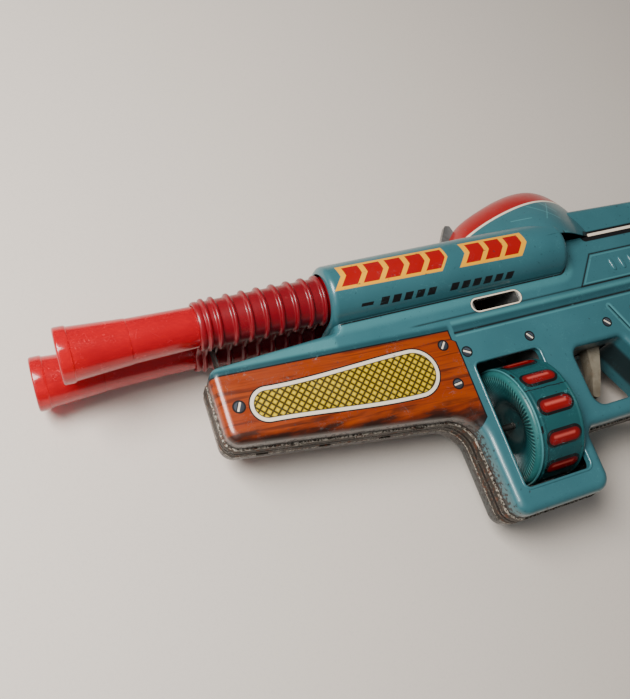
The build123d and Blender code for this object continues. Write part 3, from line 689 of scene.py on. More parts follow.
        # painted highlight on the wedge, then painted shade along the wood's top edge
        plate.lay(top.between(2.2, 7.0, 0.8) * x.below(114.0, 1.0) * 0.35, Ink.TEAL_PALE)
        plate.lay(top.between(-0.5, 2.4, 1.1) * x.below(168.0, 1.0) * 0.75, Ink.TEAL_DEEP)
        grain = WoodPrint().place(tree, U=x, V=y + x * 0.05)["Color"]
        cloud = noise(tree, vector_of(tree, x * 0.05, y * 0.22, 1.0), 1.0, 4.0)
        foot = y + (x - BODY.fore_front_x) * BODY.fore_slope - BODY.fore_low_y
        # darker towards the fore-end's foot: brown and umber in patches, and a solid umber band
        # along the foot
        grain = grain.coat(foot.below(5.5, 5.0) * cloud.above(0.45, 0.12) * 0.8, Ink.BROWN)
        grain = grain.coat(foot.below(1.2, 1.4) * 0.8, Ink.UMBER)
        grain = grain.coat(foot.below(6.5, 3.0) * cloud.above(0.56, 0.05) * 0.75, Ink.UMBER)
        plate.lay(wood.below(0.0, 0.15), grain)
        plate.lay(wood.between(-0.35, 0.3, 0.15), Ink.BLACK)
        run_x, run_y = 68.0, -3.2
        square = run_x * run_x + run_y * run_y
        from_x, from_y = x - 76.3, y + 41.6
        share = from_x * (run_x / square) + from_y * (run_y / square)
        share = share.apply("ADD", 0.0, clamp=True)
        eased = share * share * (3.0 - share * 2.0)
        dip = share * (1.0 - share) * 2.0
        off_x, off_y = from_x - share * run_x, from_y - share * run_y + dip
        border = (off_x * off_x + off_y * off_y).root() - eased * 3.6 - 7.7
        inlay = Crosshatch().place(tree, U=x, V=y, D=border)
        plate.lay(inlay["Mask"], inlay["Color"])

    def grip(self, plate: Plate) -> None:
        """Wood panel and inlay on the grip, along its rake."""
        tree, x, y = plate.tree, plate.x, plate.y
        down = (x - 255.0) * 0.446 - (y + 52.0) * 0.895
        over = (x - 255.0) * 0.895 + (y + 52.0) * 0.446
        wood = panel_distance(down, over, (45.5, 21.0), (29.0, 16.5), 8.0)
        grain = WoodPrint().place(tree, U=down + 40.0, V=over)["Color"]
        plate.lay(wood.below(0.0, 0.15), grain)
        plate.lay(wood.between(-0.3, 0.4, 0.15), Ink.BLACK)
        border = bar_distance(down, over, (30.0, 21.0), (60.0, 21.0), 9.0)
        inlay = Crosshatch().place(tree, U=down, V=over, D=border)
        plate.lay(inlay["Mask"], inlay["Color"])

    def port(self, plate: Plate) -> None:
        """Cream line with a dark edge round the port."""
        port = bar_distance(plate.x, plate.y, (187.5, -20.5), (208.0, -20.5), 3.0)
        plate.on_flat(port.below(0.9, 0.12), Ink.BLACK)
        plate.on_flat(port.below(0.65, 0.12), Ink.CREAM)

    def bulge(self, plate: Plate) -> None:
        """Red top of the bulge over a white line, with scratches on its side."""
        x, y = plate.x, plate.y
        on_top = y.above(14.7, 0.1) * x.between(186.0, 271.5, 0.3)
        from_peak = x - 246.0
        over = y - 27.6 + from_peak * from_peak * 0.0049
        for start, end in self.scratches:
            plate.lay(bar_distance(x, y, start, end, 0.1).below(0.12, 0.2) * 0.55, Ink.TEAL_PALE)
        plate.lay(over.above(-1.3, 0.15) * on_top, Ink.CREAM)
        plate.lay(over.above(0.0, 0.15) * on_top, Ink.RED)

    def flashes(self, plate: Plate) -> None:
        """Two groups of red chevrons on yellow along the housing, over a row of dark dashes.

        The place round a lobe is its radius times the angle from its outermost line.
        """
        x, y, side = plate.x, plate.y, plate.side
        girth = y.apply("ARCTAN2", side - BODY.lobe_z) * BODY.housing_r
        here = side.above(BODY.lobe_z, 0.1) * y.above(-14.2, 0.1) * x.between(117.0, 232.0)
        up = girth + x * 0.02 - 5.2
        lean = x - up * 0.34 + abs(up) * 0.42
        groups = abs(lean - 148.5).least(abs(lean - 201.2) + 9.6)
        ground = (groups - 26.6).most(abs(up) - 6.4)
        plate.lay(ground.below(0.0) * here, Ink.YELLOW)
        arrows = ((lean - 123.1) / 10.4).away(0.5) * 10.4
        arrows = (1.35 - arrows).most(abs(up) - 5.0).most(groups - 26.0)
        plate.lay(arrows.below(0.0, 0.12) * here, Ink.RED)
        row = girth + x * 0.02 + 9.6
        along = x - row * 0.3
        dashes = (1.0 - ((along - 137.0) / 6.0).away(0.5) * 6.0).most(abs(row) - 1.9)
        words = abs(along - 152.0).least(abs(along - 191.5) - 3.0) - 15.0
        plate.lay(dashes.most(words).below(0.0, 0.12) * here, Ink.BLACK)
        first = (abs(along - 131.4) - 2.9).most(abs(row) - 0.8)
        plate.lay(first.below(0.0, 0.12) * here, Ink.BLACK)

    def screw_heads(self, plate: Plate) -> None:
        """Printed screws on the flat sides and rings round the battery housing."""
        for at_x, at_y, radius, turn in self.screws:
            screw = PrintedScrew().place(plate.tree, X=plate.x - at_x, Y=plate.y - at_y,
                                         Radius=radius, Turn=turn)
            plate.on_flat(screw["Mask"], screw["Color"])
        for middle, half, colour in self.rings:
            ring = plate.x.between(middle - half, middle + half)
            plate.lay(ring * plate.side.above(BODY.half + 0.4, 0.1), colour)

    def wear(self, plate: Plate) -> None:
        """Grime beside the seam strip with a band of painted shade where the shell's edge rolls
        under to it, chips near it and fine scratches.
        """
        tree, side = plate.tree, plate.side
        low = plate.y.below(-19.0, 3.0)
        ahead = plate.x.below(221.0, 4.0)
        near = side.below(BODY.half - 4.5, 5.0) * low * ahead
        close = side.below(BODY.strip_half + 1.6, 1.6) * low
        far_edge = plate.z.below(-BODY.strip_half, 1.0) * side.below(BODY.half - 0.6, 0.8)
        patchy = noise(tree, plate.place.socket, 0.16, 4.0, 0.4).above(0.24, 0.08)
        chips = Chips().place(tree, Place=plate.place, Wear=near * 0.55 + 0.12, Scale=1.6)
        plate.lay(chips["Lip"] * 0.4, Ink.TEAL_DEEP)
        plate.lay(chips["Bare"] * 0.92, Ink.UMBER)
        # painted shade with grime: a solid umber band where the shell's edge rolls under to the
        # seam strip
        plate.lay(close * 0.8, Ink.UMBER)
        plate.lay(far_edge * low * ahead * patchy * 0.9, Ink.UMBER)
        handled = Handling().place(tree, Place=plate.place, Smudge=0.3, Scratch=0.5)
        plate.lay(handled["Hairline"] * 0.45, Ink.TEAL_PALE)
        plate.emboss(chips["Bare"], -0.06)
        plate.bare = chips["Bare"]


# ------------------------------------------------------------------ finishes
class Recipe:
    """A material under construction: its tree, its main shader and the gun's measures."""

    def __init__(self, name: str) -> None:
        """Starts an empty material with a Principled shader."""
        self.material = bpy.data.materials.new(name)
        self.material.use_nodes = True
        self.tree = self.material.node_tree
        self.tree.nodes.clear()
        self.shader = self.tree.nodes.new("ShaderNodeBsdfPrincipled")
        result = self.tree.nodes.new("ShaderNodeOutputMaterial")
        self.tree.links.new(self.shader.outputs[0], result.inputs[0])
        coordinates = self.tree.nodes.new("ShaderNodeTexCoord")
        measured = GunMeasure().place(self.tree, Position=coordinates.outputs["Object"])
        self.place = measured["Place"].socket
        self.x, self.y, self.z = measured["X"], measured["Y"], measured["Z"]

    def set(self, **values: Any) -> None:
        """Feeds the shader's sockets, named with underscores for spaces."""
        for name, value in values.items():
            feed(self.tree, self.shader.inputs[name.replace("_", " ")], value)

    def relief(self, height: Field) -> None:
        """Raises the surface by a height field in millimetres."""
        bump = self.tree.nodes.new("ShaderNodeBump")
        bump.inputs["Distance"].default_value = MM
        feed(self.tree, bump.inputs["Height"], height)
        self.tree.links.new(bump.outputs[0], self.shader.inputs["Normal"])

    def paint(self, base: Any) -> Paint:
        """A paint in this material's tree."""
        return Paint(self.tree, base)

    def noise(self, scale: float, detail: float, distortion: float = 0.0) -> Field:
        """Cloudy noise over the gun, with scale in lumps for each millimetre."""
        return noise(self.tree, self.place, scale, detail, distortion)

    def handling(self, scratch: float = 1.0) -> dict[str, Field]:
        """Smears and hairlines over the gun."""
        return Handling().place(self.tree, Place=self.place, Smudge=1.0, Scratch=scratch)


@dataclass(frozen=True)
class PrintedTin:
    """Lithographed and lacquered tinplate of the body."""

    name: str = "printed tin"
    roughness: float = 0.27

    def build(self) -> bpy.types.Material:
        """Makes the material."""
        recipe = Recipe(self.name)
        tin = TinPrint().place(recipe.tree, Place=recipe.place, X=recipe.x, Y=recipe.y, Z=recipe.z)
        marks = recipe.handling()
        rough = marks["Smear"] * 0.14 + marks["Hairline"] * 0.2 + tin["Bare"] * 0.25
        recipe.set(Base_Color=tin["Color"], Metallic=0.12, Roughness=rough + self.roughness,
                   Coat_Weight=0.4, Coat_Roughness=0.1)
        dents = recipe.noise(0.045, 2.0) * 0.35
        orange_peel = recipe.noise(1.6, 1.0) * 0.004
        recipe.relief(tin["Height"] + dents + orange_peel)
        return recipe.material


@dataclass(frozen=True)
class DrumTin:
    """Printed tin of the drum: dark teal with red capsules round it."""

    name: str = "drum tin"
    axis_y: float = -76.9
    radius: float = 28.0
    capsules: int = 12
    middle_x: float = 196.0
    flutes: float = 88.0
    fluted: bool = False
    lacquer: float = 0.3

    def build(self) -> bpy.types.Material:
        """Makes the material."""
        recipe = Recipe(self.name)
        up = recipe.y - self.axis_y
        turn = up.apply("ARCTAN2", recipe.z)
        # the disc's lighter teal is partly painted light, brightened for a disc that sits in shade
        paint = recipe.paint(Ink.DISC if self.fluted else Ink.DRUM)
        paint = paint.coat(recipe.noise(0.09, 3.0).above(0.5, 0.25) * 0.35, Ink.DRUM_DEEP)
        if self.fluted:
            paint = self.fluting(paint, turn, (up * up + recipe.z * recipe.z).root())
        else:
            paint = self.capsule_row(recipe, paint, turn)
        chips = Chips().place(recipe.tree, Place=recipe.place, Wear=0.22, Scale=1.8)
        paint = paint.coat(chips["Bare"] * 0.9, Ink.BLACK)
        marks = recipe.handling(0.7)
        paint = paint.coat(marks["Hairline"] * 0.6, Ink.TEAL_PALE)
        recipe.set(Base_Color=paint, Metallic=0.1, Roughness=marks["Smear"] * 0.15 + 0.3,
                   Coat_Weight=self.lacquer, Coat_Roughness=0.15)
        recipe.relief(recipe.noise(0.5, 2.0) * 0.03 - chips["Bare"] * 0.05)
        return recipe.material

    def fluting(self, paint: Paint, turn: Field, reach: Field) -> Paint:
        """Painted shade in the dished middle, and a ring of fine flutes painted with shade and
        highlights.

        Args:
            paint: the coats so far.
            turn: angle round the drum's axis.
            reach: distance from the axis.

        Returns:
            The paint.
        """
        flutes = (turn * self.flutes).apply("COSINE")
        ring = reach.between(12.5, 25.0, 0.8)
        pale = flutes.below(-0.5, 0.4) * ring * reach.above(15.0, 2.0)
        # painted shade in the dished middle
        paint = paint.coat(reach.below(15.5, 3.0) * 0.85, Ink.DISC_SHADE)
        # painted shade and painted highlight on the flutes
        paint = paint.coat(flutes.above(0.1, 0.6) * ring * 0.9, Ink.FLUTE_SHADE)
        return paint.coat(pale * 0.4, Ink.FLUTE_HIGHLIGHT)

    def capsule_row(self, recipe: Recipe, paint: Paint, turn: Field) -> Paint:
        """Red capsules in black outlines, with a painted highlight along each and painted shade
        inside its edge, the sheet's seam, slots and a painted highlight line on the front rim.

        Args:
            recipe: the material.
            paint: the coats so far.
            turn: angle round the drum's axis.

        Returns:
            The paint.
        """
        x, middle = recipe.x, self.middle_x
        pitch, sixth = 2 * math.pi / self.capsules, math.pi / 3
        across = (turn / pitch).apply("WRAP", 0.5, -0.5) * (pitch * self.radius)
        bar = bar_distance(x, across, (middle - 5.3, 0.0), (middle + 5.3, 0.0), 3.6)
        shine = bar_distance(x, across - 0.7, (middle - 5.0, 0.0), (middle + 5.0, 0.0), 0.6)
        wander = noise(recipe.tree, vector_of(recipe.tree, x * 0.22, 0.0, 0.0), 1.0, 3.0) * 3.4
        seam = abs(turn * self.radius - 8.0 - wander * 0.5 + (x - 196.0) * 0.03)
        slot = (turn / sixth + 0.32).apply("WRAP", 0.5, -0.5) * (sixth * self.radius)
        paint = paint.coat(bar.below(0.55, 0.12), Ink.BLACK)
        paint = paint.coat(bar.below(-0.8, 0.15), Ink.CAPSULE)
        # painted highlight along each capsule, and painted shade inside its edge
        paint = paint.coat(shine.below(0.0, 0.6) * 0.7, Ink.CAPSULE_HIGHLIGHT)
        paint = paint.coat(bar.above(-1.7, 0.7) * bar.below(-0.8, 0.1) * 0.5, Ink.CAPSULE_SHADE)
        paint = paint.coat(seam.below(0.22, 0.12), Ink.BLACK)
        paint = paint.coat(abs(slot).below(1.7, 0.15) * x.between(184.9, 186.1, 0.15), Ink.BLACK)
        # painted highlight: a pale line on the front rim's bead
        return paint.coat(x.between(184.0, 184.7, 0.15) * 0.55, Ink.TEAL_PALE)


@dataclass(frozen=True)
class ClearPlastic:
    """See-through moulded plastic in a deep colour."""

    name: str
    colour: Colour
    depth: Colour
    transmission: float = 0.5
    roughness: float = 0.16

    def build(self) -> bpy.types.Material:
        """Makes the material."""
        recipe = Recipe(self.name)
        marks = recipe.handling()
        cloud = recipe.noise(0.05, 2.0).above(0.5, 0.3)
        paint = recipe.paint(self.colour).coat(cloud * 0.3, self.depth)
        paint = paint.coat(recipe.x.above(100.0, 75.0) * 0.75, self.depth)
        paint = paint.coat(marks["Hairline"] * 0.2, ink(250, 120, 110))
        rough = marks["Smear"] * 0.1 + marks["Hairline"] * 0.15 + self.roughness
        recipe.set(Base_Color=paint, Roughness=rough, IOR=1.49, Metallic=0.0,
                   Transmission_Weight=self.transmission, Coat_Weight=0.3, Coat_Roughness=0.08)
        recipe.relief(recipe.noise(0.3, 2.0) * 0.04)
        return recipe.material


@dataclass(frozen=True)
class WorkedMetal:
    """Bare or plated metal with drawn-out brushing, tarnish and rust."""

    name: str
    colour: Colour
    tarnish: Colour
    metallic: float = 0.9
    roughness: float = 0.35
    rust: float = 0.0
    rubbed_and_lit_edges: bool = False

    def build(self) -> bpy.types.Material:
        """Makes the material."""
        recipe = Recipe(self.name)
        tree = recipe.tree
        drawn = vector_of(tree, recipe.x * 0.12, recipe.y * 0.12, recipe.z * 2.2)
        brushed = noise(tree, drawn, 1.0, 4.0)
        blotch = recipe.noise(0.12, 5.0, 0.5)
        paint = recipe.paint(self.colour).coat(blotch.above(0.5, 0.2) * 0.7, self.tarnish)
        paint = paint.coat(brushed.above(0.55, 0.2) * 0.25, self.tarnish)
        spots = recipe.noise(0.4, 6.0, 0.8)
        rusty = spots.above(0.58, 0.06) * blotch.above(0.42, 0.12) * self.rust
        paint = paint.coat(rusty, Ink.RUST)
        metallic: Number = rusty * (-0.8 * self.metallic) + self.metallic
        if self.rubbed_and_lit_edges:
            side = abs(recipe.z)
            paint = paint.coat(side.below(1.1, 0.5) * 0.85, ink(30, 24, 20))
            # pale flecks on the strip's edges and ridges: rubbed bare metal, and painted highlight
            # on the raised ridges
            fleck = recipe.noise(0.9, 3.0).above(0.53, 0.12)
            edges = side.between(BODY.strip_half - 1.0, BODY.strip_half + 0.2, 0.3)
            rims = side.between(1.3, 1.9, 0.3)
            paint = paint.coat((edges + rims * 0.25) * fleck * 0.8, ink(196, 188, 174))
        marks = recipe.handling()
        paint = paint.coat(marks["Hairline"] * 0.5, ink(235, 230, 220))
        rough = marks["Smear"] * 0.15 + rusty * 0.3 + self.roughness
        recipe.set(Base_Color=paint, Metallic=metallic, Roughness=rough)
        recipe.relief(brushed * 0.02 + rusty * 0.05 + blotch * 0.05)
        return recipe.material


@dataclass(frozen=True)
class DullBoard:
    """Pressed fibre or paper: speckled and matt."""

    name: str
    colour: Colour
    fleck: Colour
    roughness: float = 0.7
    band: bool = False

    def build(self) -> bpy.types.Material:
        """Makes the material."""
        recipe = Recipe(self.name)
        speck = recipe.noise(1.8, 4.0)
        paint = recipe.paint(self.colour).coat(speck.above(0.56, 0.1) * 0.6, self.fleck)
        if self.band:
            paint = paint.coat(recipe.x.below(334.0, 0.2), ink(30, 30, 34))
            paint = paint.coat(recipe.x.between(333.0, 334.4, 0.15), ink(230, 220, 200))
        recipe.set(Base_Color=paint, Roughness=speck * 0.2 + self.roughness - 0.1)
        recipe.relief(speck * 0.05)
        return recipe.material


@dataclass(frozen=True)
class FloorPaper:
    """Pale matt backdrop board under the gun."""

    name: str = "backdrop board"

    def build(self) -> bpy.types.Material:
        """Makes the material."""
        recipe = Recipe(self.name)
        cloud = recipe.noise(0.006, 3.0).above(0.5, 0.4)
        fibre = recipe.noise(0.9, 4.0)
        paint = recipe.paint(ink(206, 197, 187)).coat(cloud * 0.3, ink(196, 188, 179))
        paint = paint.coat(fibre.above(0.62, 0.1) * 0.12, ink(170, 165, 160))
        recipe.set(Base_Color=paint, Roughness=fibre * 0.1 + 0.55)
        recipe.relief(fibre * 0.02)
        return recipe.material


class Shop:
    """All finishes of the gun, each made once."""

    def __init__(self) -> None:
        """Builds every material."""
        self.body = PrintedTin().build()
        self.drum = DrumTin().build()
        self.fluted = DrumTin(name="fluted tin", fluted=True, lacquer=0.0).build()
        self.barrel = ClearPlastic("clear red barrel", ink(230, 0, 34), ink(180, 0, 24),
                                   transmission=0.62, roughness=0.13).build()
        self.sleeve = ClearPlastic("clear red sleeve", ink(186, 0, 30), ink(110, 0, 16),
                                   transmission=0.55, roughness=0.3).build()
        # the strip's dark colour is tarnished steel, darkened further as painted shade
        self.strip = WorkedMetal("worn steel strip", ink(56, 50, 42), ink(24, 19, 15),
                                 metallic=0.45, roughness=0.5, rust=0.75,
                                 rubbed_and_lit_edges=True).build()
        self.zinc = WorkedMetal("plated steel", ink(170, 172, 170), ink(110, 108, 104),
                                rust=0.2).build()
        self.trigger = WorkedMetal("trigger steel", ink(172, 162, 142), ink(110, 98, 80),
                                   metallic=0.6, roughness=0.3, rust=0.25).build()
        self.shaft = WorkedMetal("turned steel", ink(190, 190, 188), ink(120, 118, 114),
                                 roughness=0.25, rust=0.1).build()
        self.oiled = WorkedMetal("oiled steel", ink(70, 70, 68), ink(30, 28, 26),
                                 roughness=0.5).build()
        self.brass = WorkedMetal("gear brass", ink(206, 164, 84), ink(130, 92, 40),
                                 roughness=0.3).build()
        self.motor = WorkedMetal("motor steel", ink(150, 150, 146), ink(92, 90, 86),
                                 roughness=0.3, rust=0.15).build()
        self.fibre = DullBoard("pressed fibre", ink(120, 72, 40), ink(70, 38, 20)).build()
        self.cell = DullBoard("cell jacket", ink(176, 40, 30), ink(140, 24, 18), 0.45,
                              band=True).build()
        self.glass = self.bulb()

    @staticmethod
    def bulb() -> bpy.types.Material:
        """Clear glass of the lamp."""
        recipe = Recipe("lamp glass")
        marks = recipe.handling(0.2)
        recipe.set(Base_Color=ink(250, 246, 236), Roughness=marks["Smear"] * 0.08 + 0.04,
                   IOR=1.5, Metallic=0.0, Transmission_Weight=1.0)
        return recipe.material


def dress(material: bpy.types.Material, *names: str) -> None:
    """Gives CAD nodes their material.

    Args:
        material: the finish.
        names: the nodes.
    """
    for name in names:
        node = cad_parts[name]
        if not node.material_slots:
            node.data.materials.append(material)
        for slot in node.material_slots:
            slot.material = material
    log.info("%s dresses %s", material.name, ", ".join(names))


# ------------------------------------------------------------------ mesh making
def grid_faces(rows: int, cols: int, wrap_rows: bool, wrap_cols: bool) -> np.ndarray:
    """Four-cornered faces between the points of a grid.

    Args:
        rows, cols: size of the grid.
        wrap_rows, wrap_cols: whether it closes on itself in that direction.

    Returns:
        An array of faces, four point numbers each.
    """
    first = np.arange(rows if wrap_rows else rows - 1)
    second = np.arange(cols if wrap_cols else cols - 1)
    i, j = np.meshgrid(first, second, indexing="ij")
    next_i, next_j = (i + 1) % rows, (j + 1) % cols
    corners = (i * cols + j, i * cols + next_j, next_i * cols + next_j, next_i * cols + j)
    return np.stack(corners, axis=-1).reshape(-1, 4)


@dataclass
class Surface:
    """A named piece made of one or more grids of points in the gun's millimetres."""

    name: str
    body: str
    slot: str
    material: bpy.types.Material
    sharp: float = 50.0

    def make(self, grids: Sequence[np.ndarray], wrap_rows: bool, wrap_cols: bool,
             replaces: Sequence[str] = ()) -> bpy.types.Object:
        """Builds the mesh, closes its seams, turns its faces outwards and hangs it on its body.

        Args:
            grids: arrays of (rows, columns, 3) points.
            wrap_rows, wrap_cols: whether the grids close on themselves.
            replaces: CAD nodes that the piece stands for.

        Returns:
            The finished object.
        """
        points, faces, count = [], [], 0
        for grid in grids:
            rows, cols, _ = grid.shape
            points.append(AXES.metres(grid.reshape(-1, 3)))
            faces.append(grid_faces(rows, cols, wrap_rows, wrap_cols) + count)
            count += rows * cols
        mesh = bpy.data.meshes.new(self.name)
        mesh.from_pydata(np.vstack(points).tolist(), [], np.vstack(faces).tolist())
        build = bmesh.new()
        build.from_mesh(mesh)
        bmesh.ops.remove_doubles(build, verts=build.verts, dist=1e-6)
        bmesh.ops.recalc_face_normals(build, faces=build.faces)
        build.to_mesh(mesh)
        build.free()
        mesh.polygons.foreach_set("use_smooth", np.ones(len(mesh.polygons), dtype=bool))
        mesh.set_sharp_from_angle(angle=math.radians(self.sharp))
        mesh.materials.append(self.material)
        piece = bpy.data.objects.new(self.name, mesh)
        bpy.context.scene.collection.objects.link(piece)
        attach(piece, self.body)
        if replaces:
            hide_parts(*replaces)
        log.info("%s: %d faces on %s", self.name, len(mesh.polygons), self.body)
        return piece


def rounded(profile: np.ndarray, spacing: float, softness: int) -> np.ndarray:
    """Profile sampled evenly, with its corners eased by a running mean of its points.

    Args:
        profile: (n, 2) corners.
        spacing: distance between the new points.
        softness: points in the running mean, odd.

    Returns:
        The new points, with the ends kept.
    """
    lengths = np.hypot(*np.diff(profile, axis=0).T)
    along = np.concatenate([[0.0], np.cumsum(lengths)])
    wanted = np.linspace(0.0, along[-1], max(4, int(along[-1] / spacing)))
    even = np.stack([np.interp(wanted, along, profile[:, k]) for k in (0, 1)], axis=1)
    pad = softness // 2
    padded = np.concatenate([np.repeat(even[:1], pad, 0), even, np.repeat(even[-1:], pad, 0)])
    kernel = np.ones(softness) / softness
    soft = np.stack([np.convolve(padded[:, k], kernel, mode="valid") for k in (0, 1)], axis=1)
    soft[0], soft[-1] = even[0], even[-1]
    return soft


def turned(profile: np.ndarray, axis_y: float, axis_z: float, sides: int) -> np.ndarray:
    """Profile carried round an axis along X.

    Each point (x, r) goes to x, axis_y + r sin t, axis_z + r cos t for t once round.

    Args:
        profile: (n, 2) points of x and radius.
        axis_y, axis_z: place of the axis.
        sides: points round it.

    Returns:
        (n, sides, 3) points.
    """
    angle = np.linspace(0.0, 2 * np.pi, sides, endpoint=False)[None, :]
    x, r = profile[:, :1], profile[:, 1:]
    return np.stack([x + 0 * angle, axis_y + r * np.sin(angle), axis_z + r * np.cos(angle)], -1)


# ------------------------------------------------------------------ sub-assemblies
@dataclass
class Barrel:
    """One clear red barrel: flared muzzle with a rolled lip, a step and a slim tail."""

    name: str
    body: str
    node: str
    muzzle_x: float
    axis_z: float
    end_x: float = 160.1
    lip_r: float = 12.0
    lip_len: float = 5.4
    wall: float = 1.2
    sides: int = 112

    def outline(self) -> np.ndarray:
        """Closed half section: outside from the lip to the tail, then the bore back."""
        turn = np.linspace(0.0, np.pi / 2, 6)
        lip = 1.0
        front = np.stack([lip - lip * np.cos(turn), self.lip_r - lip + lip * np.sin(turn)], 1)
        back = np.stack([self.lip_len - lip + lip * np.sin(turn),
                         self.lip_r - 0.6 + 0.6 * np.cos(turn)], 1)
        cone = np.stack([np.linspace(6.0, 28.0, 10), np.linspace(11.33, 9.93, 10)], 1)
        step = np.array([[28.4, 9.92], [28.6, 9.86], [28.75, 9.66], [29.0, 9.68]])
        tail_x = np.linspace(32.0, 56.0, 8)
        tail = np.stack([tail_x, np.interp(tail_x, [29.0, 56.0], [9.68, 9.05])], 1)
        end = np.array([[100.0, 9.05], [self.end_x - 0.3, 9.05], [self.end_x, 8.8]])
        outer = np.vstack([front, back, cone, step, tail, end])
        bore_x = np.array([self.end_x, 100.0, 56.0, 28.5, 5.4, 0.5, 0.0])
        bore_r = np.array([7.95, 7.85, 7.85, 8.5, 10.2, 10.75, 11.0])
        return np.vstack([outer, np.stack([bore_x, bore_r], 1)])

    def build(self, shop: Shop) -> None:
        """Makes the barrel's mesh and hangs it on its sliding body."""
        profile = self.outline() + np.array([self.muzzle_x, 0.0])
        grid = turned(profile, 0.0, self.axis_z, self.sides)
        piece = Surface(self.name, self.body, "red_plastic", shop.barrel, 40.0)
        piece.make([grid], True, True, [self.node])


@dataclass
class RibbedSleeve:
    """Ribbed double sleeve in clear red plastic, with a web between its two bores."""

    start_x: float = 57.0
    end_x: float = 119.5
    lobe_z: float = 12.75
    tube_r: float = 10.2
    bore_r: float = 9.45
    web_half: float = 6.5
    web_wall: float = 0.75
    rib_rise: float = 1.3
    rib_spread: float = 0.95
    rings: tuple[float, ...] = (61.3, 65.7, 72.6, 79.5, 86.4, 93.3, 100.2, 107.1, 113.4)

    def section(self, x: np.ndarray, radius: np.ndarray, web: np.ndarray) -> np.ndarray:
        """Outline of two circles joined by a flat web, at each x.

        Each circle is followed from where the web leaves it round to where the web meets it
        again, and straight runs join the two circles.

        Args:
            x: places along the sleeve.
            radius: radius of both circles there.
            web: half height of the web there.

        Returns:
            (len(x), columns, 3) points.
        """
        meet = np.arcsin(np.clip(web / radius, 0.0, 1.0))[:, None]
        sweep = np.linspace(-1.0, 1.0, 56)[None, :] * (np.pi - meet)
        r = radius[:, None]
        left = np.stack([self.lobe_z + r * np.cos(sweep), r * np.sin(sweep)], -1)
        right = -left
        share = np.linspace(0.0, 1.0, 12)[None, 1:-1, None]
        top = left[:, -1:] * (1 - share) + right[:, :1] * share
        bottom = right[:, -1:] * (1 - share) + left[:, :1] * share
        flat = np.concatenate([left, top, right, bottom], axis=1)
        along = np.repeat(x[:, None, None], flat.shape[1], axis=1)
        return np.concatenate([along, flat[..., 1:], flat[..., :1]], axis=-1)

    def build(self, shop: Shop) -> None:
        """Makes the sleeve: ribs are bell curves on both the radius and the web's height."""
        x = np.linspace(self.start_x, self.end_x - 1.5, 215)
        rise = sum(np.exp(-((x - ring) / self.rib_spread) ** 4) for ring in self.rings)
        lip = 0.5 * np.exp(-((x - self.start_x - 1.3) / 1.2) ** 4)
        radius = self.tube_r + (self.rib_rise * rise + lip)
        web = self.web_half + (self.rib_rise * rise + lip * 0.6)
        start = np.array([self.start_x]), np.array([self.tube_r - 0.2]), np.array([6.3])
        collar_x = np.array([self.end_x - 1.49, self.end_x])
        collar_r = np.array([13.5, 13.5])
        outer = [self.section(*start), self.section(x, radius, web),
                 self.section(collar_x, collar_r, collar_r * 0.9999)]
        bore_x = np.array([self.end_x, 88.0, self.start_x])
        bore = self.section(bore_x, np.full(3, self.bore_r),
                            np.full(3, self.web_half - self.web_wall))
        grid = np.concatenate([*outer, bore], axis=0)
        piece = Surface("ribbed_sleeve", "body", "red_plastic", shop.sleeve, 60.0)
        piece.make([grid], True, True, ["sleeve_left", "sleeve_right"])


